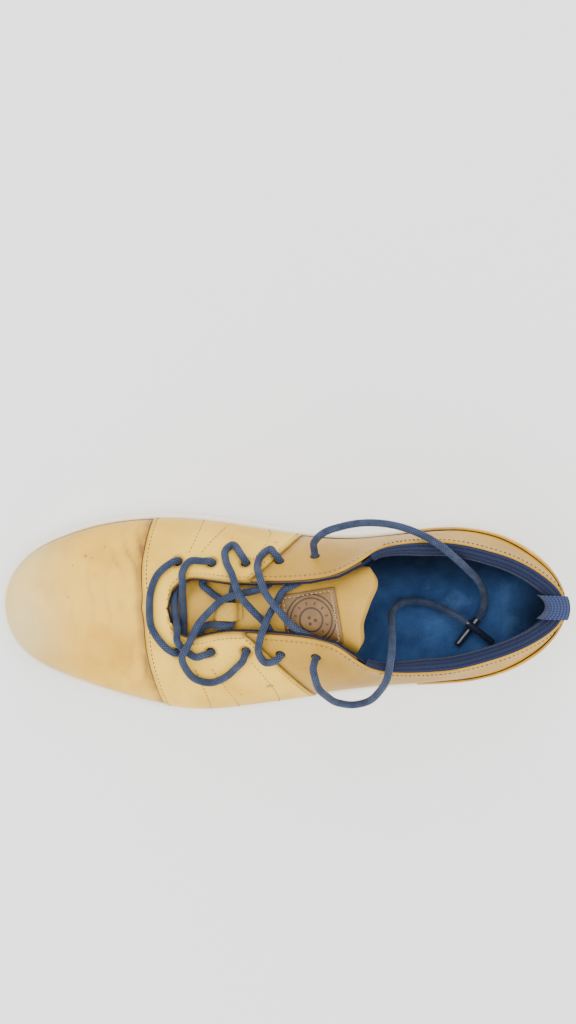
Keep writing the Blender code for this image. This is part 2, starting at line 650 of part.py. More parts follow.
def slide_pad_lines(inset):
    extra = PAD_INSET - inset
    return lines_across(inset, 0, SLIDE_LAST_COLUMN, 3) + [line_at_x(SLIDE_BACK_X - extra, inset, 3)]


def heel_pad_lines(inset):
    extra = PAD_INSET - inset
    return [line_at_x(HEEL_PAD_FRONT_X + extra, inset, 3)] + lines_across(inset, HEEL_PAD_COLUMN, HEEL, 3)


def shank_lines(extra):
    lines = []
    for x in np.linspace(SHANK["front"] + extra, SHANK["back"] - extra, 9):
        lines.append(np.array([[x, SHANK["right"] - extra], [x, SHANK["left"] + extra]]))
    return lines


def build_sole(finishes):
    cup = stacked_rings("cup_sole", finishes["sole"], [
        outline_ring(3.0, SOLE_UNDERSIDE),
        outline_ring(0.8, SOLE_UNDERSIDE + 1.2),
        outline_ring(0.0, 6.5),
        outline_ring(0.3, lambda x: wall_top(x) - 3.0),
        outline_ring(1.0, lambda x: wall_top(x) - 0.6),
        outline_ring(1.9, lambda x: wall_top(x)),
        outline_ring(CUP_WALL, lambda x: wall_top(x) - 0.5),
        outline_ring(CUP_WALL, CUP_FLOOR),
    ])
    for name, lines, finish in (("slide_pad", slide_pad_lines, "slide"), ("heel_pad", heel_pad_lines, "rubber")):
        slab(name, finishes[finish], lines(PAD_INSET), flat(0.0), flat(PAD_TOP))
        seat = slab(name + "_seat", finishes[finish], lines(PAD_INSET - GAP), flat(-3.0), flat(PAD_SEAT))
        cut(cup, as_cutter(seat))
    midsole = slab("midsole", finishes["foam"], lines_across(INNER_SOLE_INSET, 0, HEEL, 5),
                   flat(CUP_FLOOR + GAP), lambda x, y: MIDSOLE_TOP + lift(x))
    shank_top = MIDSOLE_TOP - GAP / 2
    slab("shank", finishes["steel"], shank_lines(0.0),
         lambda x, y: shank_top + lift(x) - SHANK["thickness"], lambda x, y: shank_top + lift(x))
    groove = slab("shank_groove", finishes["steel"], shank_lines(GAP),
                  lambda x, y: shank_top + lift(x) - SHANK["thickness"] - GAP,
                  lambda x, y: shank_top + lift(x) + 3.0)
    cut(midsole, as_cutter(groove))
    slab("lasting_board", finishes["board"], lines_across(INNER_SOLE_INSET, 0, HEEL, 5),
         lambda x, y: MIDSOLE_TOP + GAP + lift(x), lambda x, y: board_top(x))
    slab("footbed", finishes["footbed"], lines_across(FOOTBED_INSET, 0, HEEL, 9),
         lambda x, y: board_top(x) + GAP, footbed_top)


def footbed_top(x, y):
    """The footbed's upper face, cupped round the heel and along the arch."""
    reach = min(np.hypot(*(side.edge - (x, y)).T).min() for side in SIDES.values()) - FOOTBED_INSET
    rim = ease(1 - reach / FOOTBED_CUP_WIDTH)
    zone = ease((FOOTBED_CUP_FRONT_X - x) / (FOOTBED_CUP_FRONT_X - FOOTBED_CUP_BACK_X))
    return board_top(x) + GAP + FOOTBED_THICKNESS + FOOTBED_CUP * rim * zone


# Upper ------------------------------------------------------------------------------------------


def proud(column, row):
    return -QUARTER_PROUD if row >= PROUD_ROW else 0.0


def vamp_lining_top(column, row):
    under_puff = abs(column) <= PUFF_LAST and row <= PUFF_TOP_ROW
    return LINING_TOP if under_puff else STIFFENER_TOP


def quarter_lining_top(column, row):
    under_stay = STAY_FIRST <= abs(column) <= FACING_END and row >= STAY_FIRST_ROW
    return LINING_TOP if under_stay else STIFFENER_TOP


def eyelet_spots():
    """Plan places of the five eyelets on each side, from the toe end."""
    xs = np.linspace(EYELETS_FRONT_X, EYELETS_BACK_X, len(EYELETS_LATERAL_Y))
    return {1: list(zip(xs, EYELETS_LATERAL_Y)), -1: list(zip(xs, EYELETS_MEDIAL_Y))}


def surface_spot(side, x, y):
    """The base surface's point and outward normal nearest to a place in plan, on the facing."""
    columns = np.linspace(SEAM, FACING_END + 1, 150)
    climb = np.linspace(0.4, 1.0, 70)
    grid = side.surface(columns, climb)
    near = np.hypot(grid[..., 0] - x, grid[..., 1] - y)
    i, k = np.unravel_index(int(np.argmin(near)), near.shape)
    i, k = np.clip(i, 1, len(columns) - 2), np.clip(k, 1, len(climb) - 2)
    normal = unit(np.cross(grid[i + 1, k] - grid[i - 1, k], grid[i, k + 1] - grid[i, k - 1]))
    return grid[i, k], normal * np.sign(normal[2])


def eyelet_punch(side, finish):
    """One cutter with a rod through each eyelet of a side."""
    mesh = bpy.data.meshes.new(f"eyelet_punch_{side.name}")
    work = bmesh.new()
    for x, y in eyelet_spots()[side.sign]:
        point, normal = surface_spot(side, x, y)
        turn = Vector(normal).to_track_quat("Z", "Y").to_matrix().to_4x4()
        bmesh.ops.create_cone(
            work, cap_ends=True, segments=10, radius1=EYELET_RADIUS * MM, radius2=EYELET_RADIUS * MM,
            depth=2 * PUNCH_REACH * MM, matrix=Matrix.Translation(Vector(point * MM)) @ turn)
    work.to_mesh(mesh)
    work.free()
    mesh.materials.append(finish)
    made = bpy.data.objects.new(mesh.name, mesh)
    bpy.context.collection.objects.link(made)
    return as_cutter(made)


def build_upper(finishes):
    punches = {side: eyelet_punch(side, finishes["lining"]) for side in SIDES.values()}
    panel("vamp", finishes["light_leather"], [(-SEAM, SEAM, 0, TOP)], 0.0, LEATHER,
          trims=((SEAM, -1), (-SEAM, 1)))
    panel("toe_puff", finishes["board"], [(-PUFF_LAST, PUFF_LAST, 1, PUFF_TOP_ROW)],
          STIFFENER_TOP, STIFFENER_TOP + STIFFENER)
    panel("vamp_lining", finishes["lining"], [(-THROAT, THROAT, 1, TOP)], vamp_lining_top, LINING_UNDER,
          trims=((THROAT, -1), (-THROAT, 1)))
    front = panel("front_quarters", finishes["light_leather"],
                  [(SEAM, QUARTER, 0, TOP), (-QUARTER, -SEAM, 0, TOP)], proud, LEATHER,
                  trims=((SEAM, 1), (-SEAM, -1), (QUARTER, -1), (-QUARTER, 1)))
    for side, punch in punches.items():
        cut(front, punch)
        s = side.sign
        rear = panel(f"rear_quarter_{side.name}", finishes["dark_leather"], [span(s, QUARTER, HEEL, 0, TOP)],
                     0.0, LEATHER, trims=((s * QUARTER, s), (s * HEEL, -s)))
        stay = panel(f"eyestay_{side.name}", finishes["board"],
                     [span(s, STAY_FIRST, FACING_END, STAY_FIRST_ROW, TOP)],
                     STIFFENER_TOP, STIFFENER_TOP + STIFFENER)
        lining = panel(f"quarter_lining_{side.name}", finishes["lining"],
                       [span(s, THROAT, FACING_END + 1, 1, TOP)], quarter_lining_top, LINING_UNDER,
                       trims=((s * THROAT, s), (s * (FACING_END + 1), -s)))
        for piece in (rear, stay, lining):
            cut(piece, punch)
    panel("heel_counter", finishes["board"],
          [(COUNTER_FIRST, 2 * HEEL - COUNTER_FIRST, 1, COUNTER_TOP_ROW)],
          STIFFENER_TOP, STIFFENER_TOP + STIFFENER)


def span(sign, first, last, low, high):
    return (first, last, low, high) if sign > 0 else (-last, -first, low, high)


# Heel and collar --------------------------------------------------------------------------------


class WallLine:
    """The base surface along one whole column, to be read by the drop below the topline."""

    def __init__(self, column):
        column = wrapped(column)
        side = side_of(column)
        number = abs(column)
        climb = np.linspace(1.0, 0.0, 40)
        near = [max(number - 0.25, 0), min(number + 0.25, HEEL)]
        self.line = side.surface(np.array([number]), climb)[0]
        fore, aft = side.surface(np.array(near), climb)
        along = aft - fore
        if number == HEEL:
            along = np.array([[0.0, -side.sign, 0.0]]) * np.ones((len(climb), 1))
        down = np.gradient(self.line, axis=0)
        normal = unit(np.cross(along, down)) * -side.sign
        foot = self.line[-1].copy()
        foot[2] = board_top(foot[0]) + GAP
        self.line = np.vstack([self.line, foot])
        self.normal = np.vstack([normal, normal[-1]])
        self.drop = np.concatenate([[0], np.cumsum(np.linalg.norm(np.diff(self.line, axis=0), axis=1))])
        _, _, _, _, over = side.frame(np.array([number]))
        self.over = over[0]

    def at(self, drop, depth):
        inside = min(max(drop, 0.0), self.drop[-1])
        place = np.array([np.interp(inside, self.drop, self.line[:, k]) for k in range(3)])
        normal = np.array([np.interp(inside, self.drop, self.normal[:, k]) for k in range(3)])
        return place - unit(normal) * depth + self.over * max(-drop, 0.0)


WALL_LINES = {}


def wall_point(column, drop, depth):
    """A point of the wall at any column, on the straight facet between its two whole columns."""
    low = math.floor(column)
    share = column - low
    for whole in (low, low + 1):
        WALL_LINES.setdefault(whole, WallLine(whole))
    point = WALL_LINES[low].at(drop, depth)
    return point if share == 0 else point * (1 - share) + WALL_LINES[low + 1].at(drop, depth) * share


def collar_columns():
    last = 2 * HEEL - COLLAR_FIRST
    return [COLLAR_FIRST + COLLAR_SEAM, *range(COLLAR_FIRST + 1, last), last - COLLAR_SEAM]


def collar_share(column):
    """How full the collar is here: it thins out towards its two ends."""
    reach = min(column - COLLAR_FIRST, 2 * HEEL - COLLAR_FIRST - column)
    return COLLAR_END_SHARE + (1 - COLLAR_END_SHARE) * ease(reach / COLLAR_TAPER)


def collar_loft(name, finish, section):
    rings = []
    for column in collar_columns():
        share = collar_share(column)
        rings.append([wall_point(column, drop, STIFFENER_TOP + (depth - STIFFENER_TOP) * (
            share if drop < 100 else 1.0)) for drop, depth in section])
    return loft(name, finish, rings)


def build_collar(finishes):
    collar_loft("collar_padding", finishes["foam"], PADDING_SECTION)
    collar_loft("collar_lining", finishes["knit"], KNIT_SECTION)
    rings = []
    for share in (-1, -0.5, 0, 0.5, 1):
        ring = []
        for drop, depth in TAB_SECTION:
            inside = max(depth, 0) / TAB_SECTION[8][1]
            setback = TAB_SETBACK_OUTSIDE + (TAB_SETBACK_INSIDE - TAB_SETBACK_OUTSIDE) * inside
            ring.append(wall_point(HEEL, drop, depth) + (setback * share**2, TAB_HALF_WIDTH * share, 0))
        rings.append(ring)
    loft("heel_tab", finishes["tab"], rings)
    build_heel_cover(finishes["light_leather"])


def build_heel_cover(finish):
    cells, outer, inner = [], {}, {}
    for column in range(COVER_FIRST, 2 * HEEL - COVER_FIRST + 1):
        number = min(column, 2 * HEEL - column)
        keys, tops = zip(*COVER_TOP)
        top = float(smooth_values(keys, tops, np.array([number]))[0])
        line = WallLine(column)
        for row in range(COVER_ROWS + 1):
            climb = COVER_LOW + (top - COVER_LOW) * row / COVER_ROWS
            drop = np.interp(1 - climb, np.linspace(0, 1, 40), line.drop[:40])
            outer[(column, row)] = line.at(drop, -GAP - 0.15 - 1.0)
            inner[(column, row)] = line.at(drop, -GAP - 0.15)
            if column > COVER_FIRST and row:
                cells.append(((column - 1, row - 1), (column, row - 1), (column, row), (column - 1, row)))
    new_object("heel_cover", *thick_sheet(cells, outer, inner), finish)


# Tongue -----------------------------------------------------------------------------------------


def table(keys, x):
    """The value at x of a smooth curve through (x, value) keys, in either order of x."""
    places, values = zip(*sorted(keys))
    return float(smooth_values(places, values, np.array([x]))[0])


def tongue_top(x, y):
    """Height of the tongue's upper face: an arch across, climbing towards the tip."""
    off = y - TONGUE_CENTRE_Y
    radius = table(TONGUE_ARCH, x)
    return table(TONGUE_HEIGHT, x) - radius + math.sqrt(radius**2 - min(abs(off), 0.95 * radius)**2)


def tongue_normal(x, y):
    step = 0.5
    slope_x = (tongue_top(x + step, y) - tongue_top(x - step, y)) / (2 * step)
    slope_y = (tongue_top(x, y + step) - tongue_top(x, y - step)) / (2 * step)
    return unit(np.array([-slope_x, -slope_y, 1.0]))


def tongue_point(x, y, depth):
    return np.array([x, y, tongue_top(x, y)]) - tongue_normal(x, y) * depth


def tongue_station(x):
    """Plan points across the tongue, bending towards the slanted tip as the tip comes near."""
    ys = np.linspace(table(TONGUE_MEDIAL_EDGE, x), table(TONGUE_LATERAL_EDGE, x), TONGUE_ACROSS)
    last = TONGUE_FLAP_STATIONS[-1]
    bend = ease((x - 0.0) / last)
    return [(x + bend * (table(TONGUE_TIP, y) - last), y) for y in ys]


def fold_height():
    return tongue_top(TONGUE_FOLD_X, TONGUE_CENTRE_Y) - TONGUE_LAYERS[-1][3]


def tongue_layer(name, finish, stations, depth_out, depth_in, parent):
    cells, outer, inner = [], {}, {}
    for i, x in enumerate(stations):
        for k, (px, py) in enumerate(tongue_station(x)):
            straight = x > TONGUE_FOLD_X - 5
            top = tongue_point(px, py, depth_out)
            under = tongue_point(px, py, depth_in)
            if straight:
                top[0] = under[0] = px
            if parent is not None and i == 0:
                for corner in (top, under):
                    corner[0] -= FOLD_RELIEF * max(0.0, fold_height() - corner[2])
            outer[(i, k)], inner[(i, k)] = top, under
            if i and k:
                cells.append(((i - 1, k - 1), (i - 1, k), (i, k), (i, k - 1)))
    return new_object(name, *thick_sheet(cells, outer, inner), finish, parent)


def build_label(finish, parent):
    steps = np.linspace(-0.5, 0.5, 8) * LABEL_SIDE
    cells, outer, inner = [], {}, {}
    for i, a in enumerate(steps):
        for k, b in enumerate(steps):
            x = LABEL_CENTRE[0] + a * math.cos(LABEL_TURN) - b * math.sin(LABEL_TURN)
            y = LABEL_CENTRE[1] + a * math.sin(LABEL_TURN) + b * math.cos(LABEL_TURN)
            outer[(i, k)] = tongue_point(x, y, -0.5 - LABEL_THICKNESS)
            inner[(i, k)] = tongue_point(x, y, -0.5)
            if i and k:
                cells.append(((i - 1, k - 1), (i, k - 1), (i, k), (i - 1, k)))
    return new_object("tongue_label", *thick_sheet(cells, outer, inner), finish, parent)


def build_tongue(finishes):
    axis = bpy.data.objects.new("tongue_fold", None)
    axis.location = Vector((TONGUE_FOLD_X, TONGUE_CENTRE_Y, fold_height())) * MM
    bpy.context.collection.objects.link(axis)
    bpy.context.view_layer.update()
    for layer, finish, depth_out, depth_in in TONGUE_LAYERS:
        tongue_layer(f"tongue_{layer}_root", finishes[finish], TONGUE_ROOT_STATIONS, depth_out, depth_in, None)
        tongue_layer(f"tongue_{layer}_flap", finishes[finish], TONGUE_FLAP_STATIONS, depth_out, depth_in, axis)
    build_label(finishes["label"], axis)
    rings = []
    for y in np.linspace(*KEEPER_Y, 3):
        rings.append([tongue_point(KEEPER_X + off, y, -rise) for off, rise in KEEPER_SECTION])
    loft("lace_keeper", finishes["keeper"], rings)


# Laces ------------------------------------------------------------------------------------------


def facing_place(x, y, rise):
    """The point this far above the base surface, measured along its normal, over a place in plan."""
    side = LATERAL_SIDE if y > TONGUE_CENTRE_Y else MEDIAL_SIDE
    point, normal = surface_spot(side, x, y)
    return point + normal * rise


def hole_points(sign, number, above, below):
    """Points of a lace through an eyelet from above to below, bending away at both ends."""
    x, y = eyelet_spots()[sign][number]
    point, normal = surface_spot(SIDES[sign], x, y)
    bends = []
    for way in (above, below):
        way = np.array([*(way or (0, 0)), 0.0])
        bends.append(way - normal * (way @ normal))
    up, down = bends
    points = [point + normal * 1.4, point - normal * 4.6,
              point - normal * 6.0 + down * 1.1, point - normal * 6.45 + down * 3.4]
    if above is None:
        return [point + normal * LACE_END_HEIGHT, *points]
    return [point + normal * 3.4 + up * 3.5, point + normal * 2.8 + up * 1.1, *points]


def laced_route():
    points = []
    for kind, *values in LACING:
        if kind == "facing":
            points.append(facing_place(*values))
        elif kind == "tongue":
            x, y, rise = values
            points.append(tongue_point(x, y, -rise))
        elif kind == "point":
            points.append(np.array(values))
        elif kind == "start":
            points += hole_points(values[0], values[1], None, values[2])
        elif kind == "stop":
            points += hole_points(values[0], values[1], None, values[2])[::-1]
        else:
            sign, number, above, below, way = values
            through = hole_points(sign, number, above, below)
            points += through if way == "down" else through[::-1]
    return np.array(points)


def smooth_route(points, spacing):
    """The route's own points, with more of the smooth curve's between those that are far apart."""
    points = np.asarray(points, float)
    keys = np.concatenate([[0], np.cumsum(np.linalg.norm(np.diff(points, axis=0), axis=1))])
    at = [keys[0]]
    for a, b in zip(keys, keys[1:]):
        pieces = max(1, round((b - a) / spacing))
        at += list(a + (b - a) * np.arange(1, pieces + 1) / pieces)
    return smooth_values(keys, points, np.array(at))


def cord(name, finish, points, radius):
    curve = bpy.data.curves.new(name, "CURVE")
    curve.dimensions = "3D"
    curve.bevel_depth = radius * MM
    curve.bevel_resolution = 2
    curve.use_fill_caps = True
    spline = curve.splines.new("POLY")
    spline.points.add(len(points) - 1)
    for place, point in zip(spline.points, points):
        place.co = (*(point * MM), 1.0)
    curve.materials.append(finish)
    made = bpy.data.objects.new(name, curve)
    bpy.context.collection.objects.link(made)
    return made


def rod(name, finish, ends, radius):
    start, end = (Vector(p) * MM for p in ends)
    mesh = bpy.data.meshes.new(name)
    work = bmesh.new()
    bmesh.ops.create_cone(work, cap_ends=True, segments=12, radius1=radius * MM, radius2=radius * 0.9 * MM,
                          depth=(end - start).length)
    work.to_mesh(mesh)
    work.free()
    mesh.materials.append(finish)
    made = bpy.data.objects.new(name, mesh)
    made.location = (start + end) / 2
    made.rotation_euler = (end - start).to_track_quat("Z", "Y").to_euler()
    bpy.context.collection.objects.link(made)
    return made


def free_end(sign, points, aglet):
    """A lace's free end: it starts over the laced stretch's end, and stops short of the aglet."""
    x, y = eyelet_spots()[sign][-1]
    place, normal = surface_spot(SIDES[sign], x, y)
    first = place + normal * (LACE_END_HEIGHT + GAP)
    along = unit(np.array(aglet[1]) - np.array(aglet[0]))
    last = np.array(aglet[0]) - along * GAP
    return [first, first + normal * 2.0, *np.array(points), last - along * 2.0, last]


def build_laces(finishes):
    cord("lace_laced", finishes["lace"], smooth_route(laced_route(), 6.5), LACE_RADIUS)
    for sign, end, aglet in ((-1, MEDIAL_END, MEDIAL_AGLET), (1, LATERAL_END, LATERAL_AGLET)):
        name = SIDES[sign].name
        cord(f"lace_end_{name}", finishes["lace"], smooth_route(free_end(sign, end, aglet), 8.0), LACE_RADIUS)
        rod(f"aglet_{name}", finishes["aglet"], aglet, AGLET_RADIUS)


# Finishes and the whole shoe ---------------------------------------------------------------------


def main():
    clear_scene()
    finishes = {name: material(name, *values) for name, values in FINISHES.items()}
    build_sole(finishes)
    build_upper(finishes)
    build_collar(finishes)
    build_tongue(finishes)
    build_laces(finishes)


main()
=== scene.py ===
"""The looks of a low lace-up bowling shoe for the left foot, laid over its fixed frame.

The toe points along +X, the outer (lateral) side along +Y and the ground is z = 0. Shapes are
worked out in millimetres and become metres when a mesh is made.
"""
import logging
import math
from collections.abc import Callable, Iterable, Sequence
from dataclasses import dataclass, field
from enum import Enum

import bmesh
import bpy
import numpy as np
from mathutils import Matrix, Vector


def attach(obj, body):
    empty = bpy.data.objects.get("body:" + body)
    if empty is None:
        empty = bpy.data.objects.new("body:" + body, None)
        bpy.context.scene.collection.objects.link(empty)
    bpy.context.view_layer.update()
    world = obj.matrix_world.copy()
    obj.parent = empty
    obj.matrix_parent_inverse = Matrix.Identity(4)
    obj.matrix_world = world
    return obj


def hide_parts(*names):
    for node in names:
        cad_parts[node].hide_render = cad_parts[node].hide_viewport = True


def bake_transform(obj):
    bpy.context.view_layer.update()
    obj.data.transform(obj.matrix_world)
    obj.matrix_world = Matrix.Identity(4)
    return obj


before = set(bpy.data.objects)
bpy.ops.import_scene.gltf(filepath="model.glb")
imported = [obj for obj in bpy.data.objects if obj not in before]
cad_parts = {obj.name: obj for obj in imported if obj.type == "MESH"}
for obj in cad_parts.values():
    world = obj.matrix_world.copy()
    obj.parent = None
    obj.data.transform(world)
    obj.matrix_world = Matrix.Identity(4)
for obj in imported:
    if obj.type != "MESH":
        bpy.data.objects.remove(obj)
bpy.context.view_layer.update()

LOG = logging.getLogger("bowling_shoe")
Array = np.ndarray
Colour = tuple[float, float, float]
MM = 0.001
# In millimetres: between pieces that touch, and below which two points are one
GAP = 0.3
SAME_PLACE = 0.0005
SHOE = "shoe"
FLAP = "tongue_flap"


class Layer(Enum):
    """A layer of the tongue: how deep its two faces lie under the tongue's top."""

    LEATHER = (0.0, 1.4)
    FOAM = (1.7, 5.7)
    LINING = (6.0, 7.0)


# Shader maths -----------------------------------------------------------------------------------

class Value:
    """A number that varies over a surface, with the usual operators."""

    def __init__(self, paint: "Paint", socket: bpy.types.NodeSocket) -> None:
        """Wrap an output socket of a paint's tree."""
        self.paint = paint
        self.socket = socket

    def _math(self, operation: str, *values: "Value | float") -> "Value":
        """One Math node."""
        return self.paint.node("ShaderNodeMath", {"operation": operation}, dict(enumerate(values)))

    def __add__(self, other: "Value | float") -> "Value":
        """Sum."""
        return self._math("ADD", self, other)

    def __sub__(self, other: "Value | float") -> "Value":
        """Difference."""
        return self._math("SUBTRACT", self, other)

    def __rsub__(self, other: float) -> "Value":
        """Difference from a plain number."""
        return self._math("SUBTRACT", other, self)

    def __mul__(self, other: "Value | float") -> "Value":
        """Product."""
        return self._math("MULTIPLY", self, other)

    def __lt__(self, other: "Value | float") -> "Value":
        """One where this is the smaller."""
        return self._math("LESS_THAN", self, other)

    def __gt__(self, other: "Value | float") -> "Value":
        """One where this is the larger."""
        return self._math("GREATER_THAN", self, other)

    def __abs__(self) -> "Value":
        """Size without its sign."""
        return self._math("ABSOLUTE", self)

    __radd__ = __add__
    __rmul__ = __mul__

    def power(self, exponent: float) -> "Value":
        """This raised to a power."""
        return self._math("POWER", self, exponent)

    def sine(self) -> "Value":
        """Sine of this, in radians."""
        return self._math("SINE", self)

    def highest(self, other: "Value | float") -> "Value":
        """The larger of the two."""
        return self._math("MAXIMUM", self, other)

    def lowest(self, other: "Value | float") -> "Value":
        """The smaller of the two."""
        return self._math("MINIMUM", self, other)

    def within(self, low: float, high: float) -> "Value":
        """A soft step that climbs from 0 at low to 1 at high."""
        return self.paint.node("ShaderNodeMapRange", {"interpolation_type": "SMOOTHSTEP"},
                               {0: self, 1: low, 2: high, 3: 0.0, 4: 1.0})


class Paint:
    """A material under construction, around one Principled shader."""

    def __init__(self, name: str) -> None:
        """Start a material of this name."""
        self.material = bpy.data.materials.new(name)
        self.material.use_nodes = True
        self.tree = self.material.node_tree
        self.shader = self.tree.nodes["Principled BSDF"]
        self._coordinates = self.tree.nodes.new("ShaderNodeTexCoord")

    def node(self, kind: str, settings: dict | None = None, inputs: dict | None = None,
             output: int | str = 0) -> Value:
        """Add a node.

        Args:
            kind: the node's type.
            settings: its properties, which are set first.
            inputs: values or links of its sockets, by index or name.
            output: the socket that the result wraps.

        Returns:
            The wrapped output.
        """
        made = self.tree.nodes.new(kind)
        for key, value in (settings or {}).items():
            setattr(made, key, value)
        for key, value in (inputs or {}).items():
            if isinstance(value, Value):
                self.tree.links.new(value.socket, made.inputs[key])
            else:
                made.inputs[key].default_value = value
        return Value(self, made.outputs[output])

    def place(self) -> Value:
        """Object coordinates, in metres."""
        return Value(self, self._coordinates.outputs["Object"])

    def surface_place(self) -> Value:
        """The piece's own surface coordinates."""
        return Value(self, self._coordinates.outputs["UV"])

    def parts(self, vector: Value) -> tuple[Value, Value, Value]:
        """The three numbers of a vector."""
        made = self.tree.nodes.new("ShaderNodeSeparateXYZ")
        self.tree.links.new(vector.socket, made.inputs[0])
        return tuple(Value(self, made.outputs[k]) for k in range(3))

    def stretched(self, vector: Value, scale: Sequence[float]) -> Value:
        """The vector with its three numbers scaled."""
        return self.node("ShaderNodeVectorMath", {"operation": "MULTIPLY"},
                         {0: vector, 1: tuple(scale)})

    def noise(self, scale: float, detail: float = 3.0, roughness: float = 0.5,
              vector: Value | None = None) -> Value:
        """Soft noise between 0 and 1."""
        return self.node("ShaderNodeTexNoise", {}, {
            "Vector": vector or self.place(), "Scale": scale, "Detail": detail, "Roughness": roughness})

    def cells(self, scale: float, vector: Value | None = None, scatter: float = 1.0) -> Value:
        """Distance to the nearest of many points, in rows where the scatter is 0."""
        return self.node("ShaderNodeTexVoronoi", {"feature": "F1"}, {
            "Vector": vector or self.place(), "Scale": scale, "Randomness": scatter}, "Distance")

    def mix(self, share: "Value | float", first: "Value | Colour", second: "Value | Colour") -> Value:
        """A colour between two."""
        inputs = {0: share}
        for slot, colour in ((6, first), (7, second)):
            inputs[slot] = colour if isinstance(colour, Value) else (*colour, 1.0)
        return self.node("ShaderNodeMix", {"data_type": "RGBA"}, inputs, 2)

    def shade(self, colour: "Value | Colour", share: "Value | float", amount: float) -> Value:
        """The colour multiplied towards black, by this amount where the share is 1."""
        inputs = {0: share, 6: colour if isinstance(colour, Value) else (*colour, 1.0),
                  7: (1 - amount, 1 - amount, 1 - amount, 1.0)}
        return self.node("ShaderNodeMix", {"data_type": "RGBA", "blend_type": "MULTIPLY"}, inputs, 2)

    def finish(self, colour: "Value | Colour", roughness: "Value | float", height: Value | None = None,
               **constants: float) -> bpy.types.Material:
        """Link the look to the shader.

        Args:
            colour: base colour.
            roughness: how rough it is.
            height: relief in metres, given to a Bump node.
            constants: other sockets by name, with underscores for spaces.

        Returns:
            The finished material.
        """
        for name, value in (("Base Color", colour), ("Roughness", roughness)):
            if isinstance(value, Value):
                self.tree.links.new(value.socket, self.shader.inputs[name])
            else:
                flat = (*value, 1.0) if name == "Base Color" else value
                self.shader.inputs[name].default_value = flat
        if height is not None:
            bump = self.node("ShaderNodeBump", {},
                             {"Height": height, "Distance": 1.0, "Strength": 1.0})
            self.tree.links.new(bump.socket, self.shader.inputs["Normal"])
        for name, value in constants.items():
            self.shader.inputs[name.replace("_", " ")].default_value = value
        return self.material


# Finishes ---------------------------------------------------------------------------------------

SPECK_BROWN = (0.2, 0.1, 0.035)
# Dark brown for the dirt and painted shade along seams, edges, creases and eyelets.
DIRT_AND_SHADE_BROWN = (0.17, 0.085, 0.028)
SCUFF_BROWN = (0.42, 0.33, 0.2)
TOE_GREY = (0.7, 0.6, 0.31)
KNIT_FLUFF = (0.11, 0.14, 0.27)
LABEL_BLOTCH = (0.14, 0.07, 0.02)
FINGER_HOLES = ((0.0008, 0.0019), (0.0008, -0.0012), (-0.0021, 0.0005))


@dataclass(frozen=True)
class LeatherFinish:
    """Worn leather with a fine grain, soft blotches, a little dirt, and painted shade along its seams,
    edges, creases and eyelets.
    """

    name: str
    colour: Colour
    blotch: Colour
    grain: float = 0.00006
    roughness: float = 0.55
    toe_wear: float = 0.0
    perforated: bool = False

    def material(self) -> bpy.types.Material:
        """Build the material."""
        paint = Paint(self.name)
        x, _, z = paint.parts(paint.place())
        cloud = paint.noise(26.0, 4.0, 0.55)
        stain = paint.noise(70.0, 5.0, 0.65).within(0.56, 0.78)
        colour = paint.mix(cloud.within(0.38, 0.68), self.colour, self.blotch)
        colour = paint.shade(colour, stain, 0.16)
        smudge = paint.noise(17.0, 5.0, 0.6).within(0.5, 0.72)
        colour = paint.mix(smudge * 0.45, colour, self.blotch)
        fleck = paint.noise(430.0, 2.0, 0.5).within(0.68, 0.8)
        colour = paint.shade(colour, fleck, 0.18)
        speck = paint.noise(210.0, 1.0, 0.4).within(0.755, 0.79)
        colour = paint.mix(speck * 0.6, colour, SPECK_BROWN)
        streaky = paint.stretched(paint.place(), (1.0, 0.3, 0.6))
        streak = paint.noise(38.0, 3.0, 0.6, streaky).within(0.55, 0.75)
        colour = paint.mix(streak * 0.4, colour, self.blotch)
        if self.toe_wear:
            ahead = x.within(0.098, 0.15)
            grey = ahead * (paint.noise(34.0, 4.0).within(0.25, 0.7) * 0.5 + 0.5) * self.toe_wear
            colour = paint.mix(grey, colour, TOE_GREY)
            low = 1.0 - z.within(0.02, 0.036)
            scuff = low * paint.noise(90.0, 4.0).within(0.3, 0.7) * 0.4
            colour = paint.mix(scuff, colour, SCUFF_BROWN)
        # Dirt and painted shade: the mesh's per-point value, raised along seams, panel edges, creases
        # and round eyelets, turns the leather dark brown in patches.
        soil = paint.node("ShaderNodeAttribute", {"attribute_name": "soil"}, {}, "Fac")
        patchy = soil * (paint.noise(150.0, 3.0).within(0.2, 0.6) * 0.5 + 0.5)
        colour = paint.mix(patchy.lowest(0.85), colour, DIRT_AND_SHADE_BROWN)
        height = paint.cells(1150.0) * (0.9 * self.grain)
        height = height + paint.noise(2600.0, 2.0) * (0.7 * self.grain)
        height = height + paint.noise(320.0, 3.0) * (1.6 * self.grain)
        if self.perforated:
            u, v, _ = paint.parts(paint.surface_place())
            zone = u.within(0.128, 0.134) * (1.0 - u.within(0.158, 0.166)) * v.within(0.016, 0.02)
            zone = zone * (1.0 - v.within(0.043, 0.047))
            dots = paint.cells(520.0, paint.surface_place(), scatter=0.0)
            hole = (1.0 - dots.within(0.1, 0.2)) * zone
            colour = paint.shade(colour, hole, 0.35)
            height = height - hole * 0.00018
        rough = self.roughness + (paint.noise(55.0, 4.0) - 0.5) * 0.16
        return paint.finish(colour, rough, height, Specular_IOR_Level=0.25)


